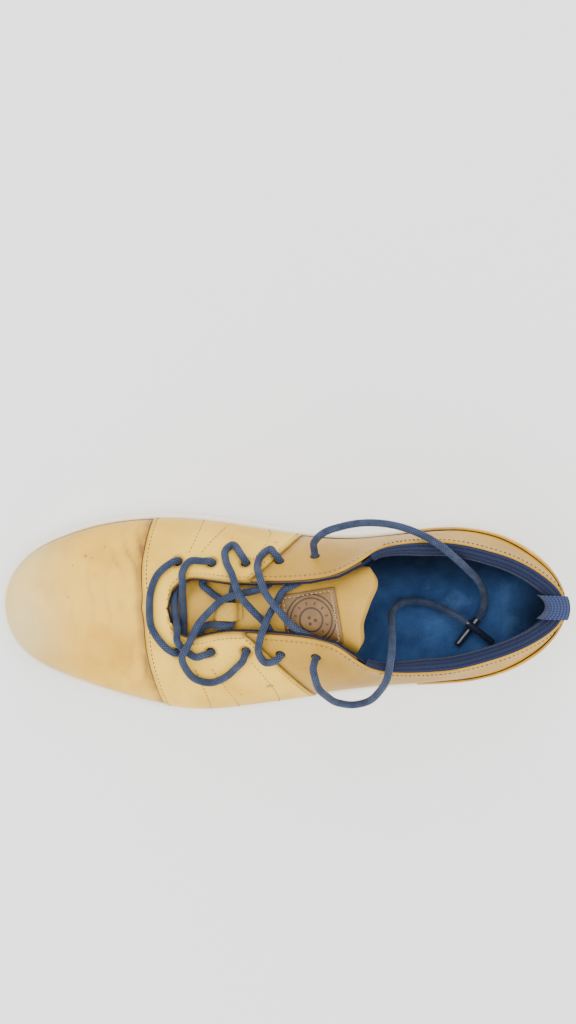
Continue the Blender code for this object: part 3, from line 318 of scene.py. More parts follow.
@dataclass(frozen=True)
class ClothFinish:
    """A close textile with a nap, such as the footbed's cover or a lining."""

    name: str
    colour: Colour
    deep: Colour
    thread: float = 1500.0
    relief: float = 0.00012
    worn: Colour | None = None
    inner_shade: float = 0.0

    def material(self) -> bpy.types.Material:
        """Build the material."""
        paint = Paint(self.name)
        x, y, _ = paint.parts(paint.place())
        weave = (x * self.thread * 2.1).sine() * (y * self.thread * 2.1).sine()
        fuzz = paint.noise(self.thread, 3.0, 0.7)
        colour = paint.mix(paint.noise(45.0, 4.0, 0.6).within(0.3, 0.7), self.deep, self.colour)
        colour = paint.shade(colour, fuzz.within(0.45, 0.75), 0.28)
        if self.worn:
            rubbed = paint.noise(60.0, 5.0, 0.65).within(0.52, 0.7) * 0.35
            colour = paint.mix(rubbed, colour, self.worn)
        # Painted shade: the cloth is darkened towards the medial wall (low y) and towards the heel,
        # where the walls shade the footbed.
        if self.inner_shade:
            inward = 1.0 - y.within(-0.03, -0.006)
            back = 1.0 - x.within(-0.142, -0.112)
            colour = paint.shade(colour, inward.highest(back), self.inner_shade)
        height = weave * (0.35 * self.relief) + fuzz * self.relief
        return paint.finish(colour, 0.95, height, Sheen_Weight=0.08, Sheen_Roughness=0.5,
                            Specular_IOR_Level=0.15)


@dataclass(frozen=True)
class KnitFinish:
    """A ribbed knit that follows the piece's own surface coordinates, in metres."""

    name: str
    colour: Colour
    deep: Colour
    rib: float = 0.0021
    row: float = 0.0011

    def material(self) -> bpy.types.Material:
        """Build the material."""
        paint = Paint(self.name)
        u, v, _ = paint.parts(paint.surface_place())
        lean = (v * (math.tau / self.row)).sine() * 0.9
        ribs = (u * (math.tau / self.rib) + lean).sine() * 0.5 + 0.5
        rows = (v * (math.tau / self.row)).sine() * 0.5 + 0.5
        fuzz = paint.noise(1900.0, 3.0, 0.7)
        # Painted shade: the grooves between ribs and rows lean to the deep colour, the raised ribs to
        # the main colour.
        colour = paint.mix(ribs * 0.6 + rows * 0.25, self.deep, self.colour)
        colour = paint.mix(fuzz.within(0.6, 0.85) * 0.22, colour, KNIT_FLUFF)
        height = ribs * 0.00035 + rows * 0.00018 + fuzz * 0.00012
        return paint.finish(colour, 0.92, height, Sheen_Weight=0.1, Sheen_Roughness=0.45,
                            Specular_IOR_Level=0.2)


@dataclass(frozen=True)
class BraidFinish:
    """A round braid: two sets of strands that cross as they wind along the cord."""

    name: str
    colour: Colour
    deep: Colour
    light: Colour
    strands: int = 8
    pitch: float = 0.0056

    def material(self) -> bpy.types.Material:
        """Build the material."""
        paint = Paint(self.name)
        u, v, _ = paint.parts(paint.surface_place())
        turn = u * (math.tau * self.strands)
        along = v * (math.tau * self.strands / self.pitch / 2)
        right = (turn + along).sine() * 0.5 + 0.5
        left = (turn - along).sine() * 0.5 + 0.5
        strand = right.highest(left)
        # Painted shade: the valleys between the braid's strands take the deep colour.
        painted_valley_shade = 1.0 - strand.within(0.55, 1.0)
        thread = (v * (math.tau / 0.00042)).sine() * 0.5 + 0.5
        colour = paint.mix(paint.noise(160.0, 3.0).within(0.3, 0.7), self.colour, self.light)
        colour = paint.mix(painted_valley_shade * 0.85, colour, self.deep)
        colour = paint.shade(colour, thread, 0.12)
        height = strand * 0.00028 + thread * 0.00005
        return paint.finish(colour, 0.78, height, Sheen_Weight=0.08, Sheen_Roughness=0.4,
                            Specular_IOR_Level=0.3)


@dataclass(frozen=True)
class RubberFinish:
    """Moulded rubber or foam with a fine texture and scuffs near the ground."""

    name: str
    colour: Colour
    dirt: Colour
    roughness: float = 0.5
    texture: float = 0.00004
    scale: float = 1400.0

    def material(self) -> bpy.types.Material:
        """Build the material."""
        paint = Paint(self.name)
        _, _, z = paint.parts(paint.place())
        low = 1.0 - z.within(0.001, 0.012)
        scuff = paint.noise(60.0, 5.0, 0.65).within(0.5, 0.75)
        share = (low * 0.35 + 0.12) * scuff
        colour = paint.mix(share, self.colour, self.dirt)
        height = paint.cells(self.scale) * self.texture + paint.noise(240.0, 3.0) * (1.5 * self.texture)
        rough = self.roughness + scuff * 0.15
        return paint.finish(colour, rough, height)


@dataclass(frozen=True)
class PlainFinish:
    """A simple material with slight mottling, for hidden pieces, thread and metal."""

    name: str
    colour: Colour
    roughness: float = 0.7
    metallic: float = 0.0
    coat: float = 0.0
    relief: float = 0.00003
    mottle: float = 0.22

    def material(self) -> bpy.types.Material:
        """Build the material."""
        paint = Paint(self.name)
        mottle = paint.noise(300.0, 4.0, 0.6)
        colour = paint.shade(self.colour, mottle.within(0.35, 0.75), self.mottle)
        rough = self.roughness + (mottle - 0.5) * 0.12
        height = paint.noise(900.0, 3.0) * self.relief
        return paint.finish(colour, rough, height, Metallic=self.metallic, Coat_Weight=self.coat)


@dataclass(frozen=True)
class LabelFinish:
    """Brown leather with a burnt-in emblem: two rings round a ball with three finger holes."""

    name: str
    colour: Colour
    burnt: Colour
    rings: tuple[float, ...] = (0.0124, 0.0105)
    ball: float = 0.0058
    line: float = 0.00022
    ball_line: float = 0.0003
    ticks: tuple[float, float] = (0.0074, 0.0089)

    def material(self) -> bpy.types.Material:
        """Build the material."""
        paint = Paint(self.name)
        u, v, _ = paint.parts(paint.surface_place())
        reach = (u * u + v * v).power(0.5)
        mark: Value | None = None
        for radius, width in (*((r, self.line) for r in self.rings), (self.ball, self.ball_line)):
            line = 1.0 - abs(reach - radius).within(width, width + self.line)
            mark = line if mark is None else mark.highest(line)
        for hole_u, hole_v in FINGER_HOLES:
            du, dv = u - hole_u, v - hole_v
            hole = 1.0 - (du * du + dv * dv).power(0.5).within(0.0007, 0.00095)
            mark = mark.highest(hole)
        angle = paint.node("ShaderNodeMath", {"operation": "ARCTAN2"}, {0: v, 1: u})
        tick = (angle * 12.0).sine().within(0.86, 0.96)
        band = (reach > self.ticks[0]) * (reach < self.ticks[1])
        mark = mark.highest(tick * band)
        colour = paint.mix(paint.noise(90.0, 4.0, 0.6).within(0.35, 0.7), self.colour, LABEL_BLOTCH)
        colour = paint.mix(mark * 0.85, colour, self.burnt)
        height = paint.cells(1300.0) * 0.00006 + paint.noise(420.0, 3.0) * 0.00008 - mark * 0.0002
        return paint.finish(colour, 0.6, height)


class Finishes:
    """Every finish of the shoe, made once."""

    def __init__(self) -> None:
        """Build all the materials."""
        self.light = LeatherFinish(
            "light_leather", (0.86, 0.50, 0.045), (0.66, 0.34, 0.02), toe_wear=0.85).material()
        self.quarter = LeatherFinish(
            "quarter_leather", (0.90, 0.55, 0.055), (0.74, 0.42, 0.03), perforated=True).material()
        self.dark = LeatherFinish(
            "dark_leather", (0.5, 0.275, 0.025), (0.37, 0.2, 0.016), grain=0.00004,
            roughness=0.48).material()
        self.tongue = LeatherFinish(
            "tongue_leather", (0.56, 0.32, 0.045), (0.44, 0.24, 0.03), grain=0.00012,
            roughness=0.62).material()
        self.label = LabelFinish(
            "label_leather", (0.20, 0.105, 0.028), (0.02, 0.012, 0.012)).material()
        self.sole = RubberFinish("cup_sole_rubber", (0.93, 0.87, 0.72), (0.6, 0.47, 0.28)).material()
        self.heel_rubber = RubberFinish(
            "heel_rubber", (0.035, 0.035, 0.038), (0.2, 0.19, 0.17), roughness=0.7, texture=0.00012,
            scale=700.0).material()
        self.foam = RubberFinish(
            "soft_foam", (0.68, 0.63, 0.5), (0.5, 0.44, 0.33), roughness=0.9, texture=0.00025,
            scale=900.0).material()
        self.slide = ClothFinish(
            "slide_microfibre", (0.44, 0.42, 0.38), (0.34, 0.32, 0.29), thread=1300.0, relief=0.0001,
            worn=(0.2, 0.19, 0.17)).material()
        self.footbed = ClothFinish(
            "footbed_cover", (0.032, 0.085, 0.22), (0.014, 0.042, 0.125), relief=0.00008,
            worn=(0.075, 0.16, 0.33), inner_shade=0.8).material()
        # Navy lining made near black so that its edges in the throat, between facings and tongue, look
        # shaded: its own colour with painted shade.
        self.lining = ClothFinish(
            "mesh_lining", (0.008, 0.013, 0.035), (0.004, 0.007, 0.02), thread=900.0,
            relief=0.00016).material()
        self.tongue_lining = ClothFinish(
            "tongue_lining", (0.01, 0.018, 0.045), (0.006, 0.01, 0.025), thread=900.0,
            relief=0.00015).material()
        self.keeper = ClothFinish(
            "keeper_tape", (0.54, 0.33, 0.055), (0.40, 0.23, 0.035), thread=1400.0,
            relief=0.00015).material()
        self.knit = KnitFinish("collar_knit", (0.022, 0.032, 0.085), (0.004, 0.006, 0.02)).material()
        self.tab = KnitFinish(
            "tab_weave", (0.06, 0.085, 0.2), (0.012, 0.018, 0.05), rib=0.0017, row=0.0013).material()
        self.lace = BraidFinish(
            "lace_braid", (0.028, 0.046, 0.105), (0.003, 0.004, 0.012), (0.06, 0.09, 0.17)).material()
        self.aglet = PlainFinish(
            "aglet_film", (0.012, 0.015, 0.03), roughness=0.22, coat=0.6, relief=0.00001).material()
        self.thread = PlainFinish("brown_thread", (0.24, 0.13, 0.04), roughness=0.75).material()
        self.pale_thread = PlainFinish("pale_thread", (0.5, 0.36, 0.18), roughness=0.75).material()
        self.dark_thread = PlainFinish("navy_thread", (0.012, 0.018, 0.05), roughness=0.8).material()
        self.seam_thread = PlainFinish("seam_thread", (0.1, 0.035, 0.014), roughness=0.8).material()
        self.board = PlainFinish(
            "pressed_board", (0.45, 0.33, 0.2), roughness=0.9, relief=0.0001).material()
        self.stay = PlainFinish("stay_tape", (0.09, 0.05, 0.02), roughness=0.9).material()
        self.steel = PlainFinish(
            "shank_steel", (0.5, 0.5, 0.52), roughness=0.32, metallic=1.0).material()
        self.floor = PlainFinish(
            "studio_floor", (0.93, 0.93, 0.93), roughness=0.95, relief=0.0, mottle=0.0).material()


# Curves and meshes ------------------------------------------------------------------------------

def smooth_values(keys: Sequence, values: Sequence, at: Array | Sequence) -> Array:
    """Values of the smooth curve that passes through each key's value, at the given places."""
    keys = np.asarray(keys, float)
    values = np.asarray(values, float)
    slopes = np.gradient(values, keys, axis=0)
    at = np.clip(np.asarray(at, float), keys[0], keys[-1])
    span = np.clip(np.searchsorted(keys, at, side="right") - 1, 0, len(keys) - 2)
    width = keys[span + 1] - keys[span]
    t = (at - keys[span]) / width
    if values.ndim == 2:
        t, width = t[:, None], width[:, None]
    start = (2 * t**3 - 3 * t**2 + 1) * values[span] + (t**3 - 2 * t**2 + t) * width * slopes[span]
    end = (3 * t**2 - 2 * t**3) * values[span + 1] + (t**3 - t**2) * width * slopes[span + 1]
    return start + end


def ease(t: Array | float) -> Array:
    """A soft step from 0 to 1."""
    t = np.clip(t, 0.0, 1.0)
    return t * t * (3 - 2 * t)


def unit(vectors: Array) -> Array:
    """The vectors at length one."""
    return vectors / np.maximum(np.linalg.norm(vectors, axis=-1, keepdims=True), 1e-9)


def lengths(points: Array) -> Array:
    """Length along a line of points, up to each of them."""
    return np.concatenate([[0.0], np.cumsum(np.linalg.norm(np.diff(points, axis=0), axis=1))])


def blurred(ring: Array, passes: int) -> Array:
    """A closed line with each point drawn towards its two neighbours, this many times."""
    for _ in range(passes):
        ring = 0.25 * np.roll(ring, 1, 0) + 0.5 * ring + 0.25 * np.roll(ring, -1, 0)
    return ring


def at_lengths(at: Array | float, keys: Array, points: Array) -> Array:
    """Points, or vectors, read off straight lines between rows whose lengths are the keys."""
    return np.stack([np.interp(at, keys, column) for column in points.T], axis=-1)


def smooth_route(points: Sequence, spacing: float) -> Array:
    """A dense smooth line through the points, evenly spaced."""
    points = np.asarray(points, float)
    keys = lengths(points)
    fine = smooth_values(keys, points, np.linspace(0, keys[-1], int(keys[-1] / 0.25)))
    for _ in range(6):
        fine[1:-1] = 0.25 * fine[:-2] + 0.5 * fine[1:-1] + 0.25 * fine[2:]
    along = lengths(fine)
    at = np.linspace(0, along[-1], max(3, int(round(along[-1] / spacing))))
    return at_lengths(at, along, fine)


@dataclass
class MeshData:
    """Points in millimetres, faces and surface coordinates of one piece."""

    points: Array
    faces: list[Sequence[int]]
    uv: Array
    soil: Array | None = None

    def object(self, name: str, finish: bpy.types.Material, sprung: bool = True,
               bevel: float = 0.0) -> bpy.types.Object:
        """Make the object, with faces outwards.

        Args:
            name: its name.
            finish: its material.
            sprung: whether it curls up with the toe.
            bevel: width of its rounded edges, in millimetres.

        Returns:
            The linked object.
        """
        points = with_toe_spring(self.points) if sprung else self.points
        mesh = bpy.data.meshes.new(name)
        mesh.from_pydata((points * MM).tolist(), [], self.faces)
        layer = mesh.uv_layers.new(name="uv")
        corners = np.empty(len(mesh.loops), np.int32)
        mesh.loops.foreach_get("vertex_index", corners)
        layer.data.foreach_set("uv", (self.uv[corners] * MM).ravel())
        if self.soil is not None:
            soil = mesh.attributes.new("soil", "FLOAT", "POINT")
            soil.data.foreach_set("value", np.asarray(self.soil, np.float32))
        work = bmesh.new()
        work.from_mesh(mesh)
        bmesh.ops.remove_doubles(work, verts=work.verts, dist=SAME_PLACE * MM)
        bmesh.ops.dissolve_degenerate(work, edges=work.edges, dist=2 * SAME_PLACE * MM)
        bmesh.ops.recalc_face_normals(work, faces=work.faces)
        if work.calc_volume(signed=True) < 0:
            bmesh.ops.reverse_faces(work, faces=work.faces)
        work.to_mesh(mesh)
        work.free()
        mesh.materials.append(finish)
        made = bpy.data.objects.new(name, mesh)
        bpy.context.collection.objects.link(made)
        if bevel:
            tool = made.modifiers.new("rounded", "BEVEL")
            tool.width = bevel * MM
            tool.segments = 2
            tool.limit_method = "ANGLE"
            tool.angle_limit = math.radians(50)
            settle(made)
        smooth(made)
        return made


def settle(made: bpy.types.Object) -> None:
    """Apply the object's modifiers to its mesh."""
    graph = bpy.context.evaluated_depsgraph_get()
    mesh = bpy.data.meshes.new_from_object(made.evaluated_get(graph), depsgraph=graph)
    made.modifiers.clear()
    made.data = mesh


def smooth(made: bpy.types.Object, sharp: float = 40.0) -> None:
    """Shade the object smoothly, but for edges that turn more than this many degrees."""
    made.data.shade_smooth()
    made.data.set_sharp_from_angle(angle=math.radians(sharp))


def cut(made: bpy.types.Object, cutters: Sequence[bpy.types.Object], sharp: float = 40.0) -> None:
    """Cut the cutters out of the object, and remove them."""
    for cutter in cutters:
        tool = made.modifiers.new("cut", "BOOLEAN")
        tool.operation, tool.solver, tool.object = "DIFFERENCE", "EXACT", cutter
    settle(made)
    smooth(made, sharp)
    for cutter in cutters:
        bpy.data.objects.remove(cutter, do_unlink=True)


def grid_cells(index: Array) -> Array:
    """The four-sided cells of a grid of point numbers."""
    return np.stack([index[:-1, :-1], index[1:, :-1], index[1:, 1:], index[:-1, 1:]], -1).reshape(-1, 4)


@dataclass
class Patch:
    """One grid of a shell: points of its base surface, surface coordinates, and both depths."""

    points: Array
    uv: Array
    outer: Array | float
    inner: Array | float
    soil: Array | float = 0.0


def shell(patches: Sequence[Patch]) -> MeshData:
    """A closed sheet between two depths under its patches, which join where their points meet."""
    points = np.concatenate([p.points.reshape(-1, 3) for p in patches])
    uv = np.concatenate([p.uv.reshape(-1, 2) for p in patches])
    outer, inner, soil = (
        np.concatenate([np.broadcast_to(getattr(p, name), p.points.shape[:2]).ravel() for p in patches])
        for name in ("outer", "inner", "soil"))
    cells, base = [], 0
    for patch in patches:
        rows, across = patch.points.shape[:2]
        index = base + np.arange(rows * across).reshape(rows, across)
        cells.append(grid_cells(index))
        base += rows * across
    cells = np.concatenate(cells)
    _, first, which = np.unique(np.round(points, 3), axis=0, return_index=True, return_inverse=True)
    which = which.reshape(-1)
    cells = which[cells]
    points, uv, outer, inner, soil = (values[first] for values in (points, uv, outer, inner, soil))
    corners = points[cells]
    facing = np.cross(corners[:, 2] - corners[:, 0], corners[:, 3] - corners[:, 1])
    normal = np.zeros_like(points)
    for k in range(4):
        np.add.at(normal, cells[:, k], facing)
    normal = unit(normal)
    count = len(points)
    faces: list[Sequence[int]] = []
    edges: set[tuple[int, int]] = set()
    for cell in cells.tolist():
        ring = [v for i, v in enumerate(cell) if v != cell[i - 1]]
        if len(ring) < 3:
            continue
        faces.append(tuple(ring))
        faces.append(tuple(v + count for v in reversed(ring)))
        edges.update(zip(ring, ring[1:] + ring[:1]))
    faces += [(b, a, a + count, b + count) for a, b in edges if (b, a) not in edges]
    both = np.concatenate([points - normal * outer[:, None], points - normal * inner[:, None]])
    return MeshData(both, faces, np.tile(uv, (2, 1)), np.tile(soil, 2))


def slab(top: Array, under: Array, uv: Array, soil: Array | None = None) -> MeshData:
    """A closed slab between two grids of points that match, with a rim round them."""
    rows, across = top.shape[:2]
    count = rows * across
    index = np.arange(count).reshape(rows, across)
    cells = grid_cells(index).tolist()
    faces = cells + [[v + count for v in reversed(cell)] for cell in cells]
    rim = np.concatenate([index[:, 0], index[-1, 1:], index[:-1, -1][::-1], index[0, 1:-1][::-1]])
    ends = zip(rim.tolist(), np.roll(rim, -1).tolist())
    faces += [[b, a, a + count, b + count] for a, b in ends]
    both = np.concatenate([top.reshape(-1, 3), under.reshape(-1, 3)])
    both_dirt_and_shade = None if soil is None else np.tile(soil.ravel(), 2)
    return MeshData(both, faces, np.tile(uv.reshape(-1, 2), (2, 1)), both_dirt_and_shade)


def ring_solid(rings: Array) -> MeshData:
    """A solid through closed rings, an array of rings by points by 3, capped at both ends."""
    count, size = rings.shape[:2]
    index = np.arange(count * size).reshape(count, size)
    faces = grid_cells(np.hstack([index, index[:, :1]]).T).tolist()
    faces += [index[0][::-1].tolist(), index[-1].tolist()]
    along = np.linalg.norm(np.diff(rings, axis=0), axis=2).mean(axis=1)
    across = np.linalg.norm(np.roll(rings, -1, axis=1) - rings, axis=2).mean(axis=0)
    v = np.concatenate([[0], np.cumsum(along)])
    u = np.concatenate([[0], np.cumsum(across)[:-1]])
    uv = np.stack(np.broadcast_arrays(u[None, :], v[:, None]), -1).reshape(-1, 2)
    return MeshData(rings.reshape(-1, 3), faces, uv)


def tube(points: Array, radius: Array | float, sides: int) -> MeshData:
    """A round cord along a line of points; its surface coordinates are turns and length."""
    along = unit(np.gradient(points, axis=0))
    across = np.zeros_like(points)
    way = unit(np.cross(along[0], (0.2, 0.3, 0.93)))
    for i, ahead in enumerate(along):
        way = unit(way - ahead * (way @ ahead))
        across[i] = way
    third = np.cross(along, across)
    radius = np.broadcast_to(radius, len(points))
    turn = np.linspace(0, math.tau, sides + 1)
    spoke = np.cos(turn)[None, :, None] * across[:, None] + np.sin(turn)[None, :, None] * third[:, None]
    rings = points[:, None] + spoke * radius[:, None, None]
    grid = np.arange(len(points) * (sides + 1)).reshape(len(points), sides + 1)
    faces = grid_cells(grid.T).tolist() + [grid[0, :-1][::-1].tolist(), grid[-1, :-1].tolist()]
    uv = np.stack(np.broadcast_arrays(turn[None, :] / math.tau / MM, lengths(points)[:, None]), -1)
    return MeshData(rings.reshape(-1, 3), faces, uv.reshape(-1, 2))


# Form of the shoe -------------------------------------------------------------------------------

CUP_FLOOR = 7.0
CUP_WALL = 3.2
SOLE_UNDERSIDE = 1.2
WALL_TOP_TOE = 19.5
WALL_TOP_HEEL = 25.0
HEEL_LIFT = 5.5
HEEL_LIFT_START_X = 25.0
HEEL_LIFT_FULL_X = -65.0
BOARD_TOP = 13.8
FOOTBED_THICKNESS = 4.0
TOE_SPRING = 5.0
TOE_SPRING_START_X = 85.0
TOE_TIP_X = 150.5
# Columns of the upper, counted from the toe back: the vamp's seam, the front of the throat, the seam
# between the quarters, the end of the facing and the middle of the heel
SEAM, THROAT, QUARTER, FACING_END, HEEL = 9, 11, 18, 22, 37
QUARTER_PROUD = 0.8
EYELETS_X = (52.5, 35.0, 17.5, 0.0, -17.5)
EYELETS_Y = {1: (18.0, 17.0, 16.5, 18.0, 19.5), -1: (-28.5, -28.0, -28.0, -29.0, -32.0)}
EYELET_RADIUS = 2.6
LACE_RADIUS = 1.9
# The sole's edge in plan, from the toe's tip back along the lateral side and round
SOLE_EDGE = (
    (150.5, -6), (146, 13), (135, 26), (120, 34.5), (100, 42), (80, 48), (60, 52.5), (38, 54),
    (10, 51), (-20, 46), (-50, 41.5), (-80, 39.5), (-102, 37.5), (-121, 32.5), (-137, 23),
    (-147, 10), (-150, -5), (-146, -22), (-136, -34), (-119, -43.5), (-100, -47.5), (-82, -47.5),
    (-60, -45), (-38, -43), (-12, -44.5), (12, -48), (34, -51.5), (56, -53.5), (78, -53),
    (98, -50), (116, -44.5), (132, -37), (145, -24),
)
# Guide columns: number, x of the foot, x, y, z of the top, pull at the foot, angle and pull at the top
LATERAL_GUIDES = (
    (0, 147.0, 117.0, -6.0, 38.5, 13, 14, 17), (3, 136.0, 113.5, -6.0, 39.5, 14, 9, 18),
    (6, 108.0, 98.0, -5.5, 43.2, 16, 4, 23), (9, 62.0, 76.0, -4.5, 49.3, 20, -4, 29),
    (11, 50.0, 58.6, -4.5, 55.3, 23, -2, 29), (12, 44.0, 56.2, 5.0, 55.4, 23, 3, 24),
    (13, 37.0, 52.0, 9.2, 56.0, 24, 6, 21), (18, -20.0, 17.5, 7.6, 67.4, 30, 14, 22),
    (21, -40.0, -27.0, 13.5, 78.5, 30, 42, 16), (22, -48.0, -37.0, 20.5, 78.6, 28, 62, 14),
    (23, -56.0, -45.0, 25.2, 74.5, 25, 74, 13), (26, -82.0, -82.0, 28.4, 60.5, 18, 78, 11),
    (29, -112.0, -111.0, 21.5, 62.5, 18, 80, 12), (33, -138.0, -135.5, 8.0, 70.5, 20, 84, 14),
    (37, -150.0, -143.5, -6.0, 72.5, 21, 86, 14),
)
MEDIAL_GUIDES = (
    (0, 147.0, 117.0, -6.0, 38.5, 13, 14, 17), (3, 138.0, 113.5, -6.0, 39.5, 14, 9, 18),
    (6, 110.0, 98.0, -5.5, 43.2, 16, 4, 23), (9, 68.0, 76.0, -4.5, 49.3, 20, -3, 26),
    (11, 57.0, 58.6, -4.5, 55.3, 23, 0, 26), (12, 51.0, 56.2, -13.5, 55.4, 23, 4, 21),
    (13, 44.0, 52.0, -18.0, 56.2, 24, 8, 18), (18, -12.0, 15.0, -19.8, 68.2, 28, 18, 17),
    (21, -40.0, -28.0, -25.0, 79.5, 30, 50, 13), (22, -48.0, -39.0, -31.0, 79.6, 28, 68, 12),
    (23, -56.0, -47.0, -36.0, 75.8, 25, 78, 12), (26, -82.0, -82.0, -39.8, 62.5, 18, 80, 11),
    (29, -112.0, -112.0, -33.8, 64.5, 18, 82, 12), (33, -138.0, -136.5, -20.0, 70.5, 20, 85, 14),
    (37, -150.0, -143.5, -6.0, 72.5, 21, 86, 14),
)
# Across the collar: drop below the topline and depth under the base surface, outside and inside
KNIT_OUTSIDE = ((1.5, 1.9), (-0.5, 1.9), (-1.1, 3.2), (-1.2, 4.9), (-0.3, 7.2), (3.6, 8.7), (9.2, 8.7),
                (16.4, 6.9), (25.5, 4.6), (34, 4.2))
KNIT_INSIDE = ((34, 3.2), (25.6, 3.65), (16.1, 5.95), (9, 7.75), (4, 7.75), (0.7, 6.75), (-0.15, 4.9),
               (0.3, 2.7))
# The heel tab's section, measured in the same way
TAB_SECTION = ((13, -1.7), (2, -1.7), (-1.5, -1.0), (-2.6, 1.5), (-2.7, 5), (-1.9, 8.2), (2.6, 10.1),
               (9.4, 10.1), (17, 8.1), (17, 7.05), (9.3, 9.05), (3.1, 9.05), (-1.1, 7.5), (-1.6, 5),
               (-1.5, 2), (-0.5, -0.6), (2, -0.7), (13, -0.7))
# The heel cover's upper edge: column and climb
COVER_TOP = ((25, 0.06), (27, 0.16), (30, 0.32), (34, 0.52), (37, 0.6))
# Hollows of the footbed: centre, half widths along and across, depth
FOOT_HOLLOWS = ((-112, -5, 26, 19, 0.7), (-40, -2, 30, 15, 0.2), (66, -4, 34, 34, 0.5))
# Creases of the vamp: centre, turn off straight across, half length, depth
CREASES = (
    (72, -34, 0.25, 12, 0.55), (78.5, -31, 0.3, 11, 0.45), (66, -37, 0.2, 9, 0.35),
    (85, -27, 0.35, 9, 0.25), (70, 26, -0.3, 10, 0.3), (78, 23, -0.3, 9, 0.2),
    (90, -6, 0.04, 20, 0.14), (99, -12, 0.08, 18, 0.12), (108, 4, -0.05, 14, 0.1),
)
LEATHER_THICKNESS = 1.6
# The collar's foam in section, and a drop that always reaches the foot of the wall
COLLAR_FOAM = ((25, 2.0), (14, 2.0), (2.3, 2.0), (0.6, 3.0), (0.2, 4.8), (1.0, 6.5), (4, 7.4), (9, 7.4),
               (16, 5.6), (25, 3.3))
WALL_FOOT = 1000.0
TONGUE_FOLD_X = 13.0
TONGUE_ROOT_X = 66.0
TONGUE_TIP_X = -40.0
TONGUE_CENTRE_Y = -4.8
# The tongue by x: radius of its arch, height of its ridge and its two edges; then its tip's x by y
TONGUE_ARCH = ((66, 29), (20, 29), (4, 26.5), (-17, 24.1), (-32, 27), (-48, 29))
TONGUE_HEIGHT = ((66, 47.4), (60, 49.0), (52, 48.3), (38, 52.6), (20, 58.6), (0, 64.2), (-17, 68.4),
                 (-30, 73.8), (-40, 79.8), (-48, 85.5))
TONGUE_MEDIAL_EDGE = ((66, -20), (52, -27), (20, -29), (4, -27.5), (-17, -26.3), (-36, -27), (-48, -25))
TONGUE_LATERAL_EDGE = ((66, 12), (52, 17), (20, 18.5), (4, 17.5), (-17, 17), (-36, 20), (-48, 18))
TONGUE_TIP = ((-30, -43), (-24, -46), (-8, -42), (2, -39.5), (15, -39.5), (22, -36))
LABEL_X = -16.0
LABEL_HALF = 14.0
LABEL_HEM = 1.7
LABEL_TURN = math.radians(9.7)
# The keeper's tape, seen from the side: distance along the tongue and height above it
KEEPER_SECTION = (
    (-7.6, 0.4), (-7.6, 1.3), (-6.0, 1.5), (-5.4, 4.4), (-4.0, 5.8), (4.0, 5.8), (5.4, 4.4), (6.0, 1.5),
    (7.6, 1.3), (7.6, 0.4), (5.0, 0.4), (4.75, 4.0), (3.6, 4.9), (-3.6, 4.9), (-4.75, 4.0), (-5.0, 0.4),
)
KEEPER_X = 26.3
KEEPER_EDGES_Y = (-7.5, 0.4)
PROUD_STITCH = QUARTER_PROUD + 0.02
# Rows of thread on the front quarters: the columns where each starts at the sole and ends
SIDE_ROWS = {1: ((13.0, 13.4), (14.5, 14.6), (16.1, 16.9)),
             -1: ((13.4, 13.3), (14.8, 14.2), (16.4, 17.1))}


def seam_shift(number: Array, climbs: Array) -> Array:
    """How far back the vamp's seam bends at the ridge, in columns, at pairs of column and climb."""
    near = ease(1 - np.abs(np.abs(number) - SEAM) / 4.0)
    return 0.5 * near * np.exp(-((1 - climbs) / 0.22)**2)


def with_toe_spring(points: Array) -> Array:
    """The points with the toe curling up off the ground."""
    points = np.array(points, float)
    ahead = np.clip((points[..., 0] - TOE_SPRING_START_X) / (TOE_TIP_X - TOE_SPRING_START_X), 0, None)
    points[..., 2] += TOE_SPRING * ahead**2
    return points


def heel_rise(x: Array) -> Array:
    """How far the wedge under the heel has come up, from 0 to 1."""
    return ease((HEEL_LIFT_START_X - x) / (HEEL_LIFT_START_X - HEEL_LIFT_FULL_X))


def wall_top(x: Array) -> Array:
    """Height of the sole's rim."""
    return WALL_TOP_TOE + (WALL_TOP_HEEL - WALL_TOP_TOE) * heel_rise(x)


def board_top(x: Array) -> Array:
    """Height of the board under the footbed."""
    return BOARD_TOP + HEEL_LIFT * heel_rise(x)


class Side:
    """One side of the shoe: the sole's edge from toe tip to heel, and the upper's columns on it."""

    def __init__(self, edge: Array, outward: Array, guides: Sequence) -> None:
        """Measure the edge and place the feet of the guide columns on it."""
        self.edge = edge
        self.outward = outward
        self.length = lengths(edge)
        self.guides = np.asarray(guides, float)
        self.feet = np.array([self.arc_at_x(x) for x in self.guides[:, 1]])
        self.feet[0], self.feet[-1] = 0.0, self.length[-1]

    def joined(self, other: "Side") -> None:
        """Add one guide of the other side beyond each end, so that the two run on smoothly."""
        end = self.feet[-1]
        self.keys = np.array([-other.guides[1, 0], *self.guides[:, 0], 2 * HEEL - other.guides[-2, 0]])
        self.all_feet = np.array([-other.feet[1], *self.feet, end + other.feet[-1] - other.feet[-2]])
        self.all_guides = np.vstack([other.guides[1], self.guides, other.guides[-2]])

    def arc_at_x(self, x: float) -> float:
        """Length along the edge to this x."""
        return float(np.interp(-x, -self.edge[:, 0], self.length))

    def plan(self, columns: Array, inset: float) -> tuple[Array, Array]:
        """Plan points of the columns' feet moved inwards, and the way out at each."""
        arcs = smooth_values(self.keys, self.all_feet, columns)
        return self.at_arc(arcs, inset)

    def at_arc(self, arcs: Array | float, inset: float) -> tuple[Array, Array]:
        """Plan points at lengths along the edge, moved inwards, and the way out at each."""
        out = unit(at_lengths(arcs, self.length, self.outward))
        return at_lengths(arcs, self.length, self.edge) - out * inset, out


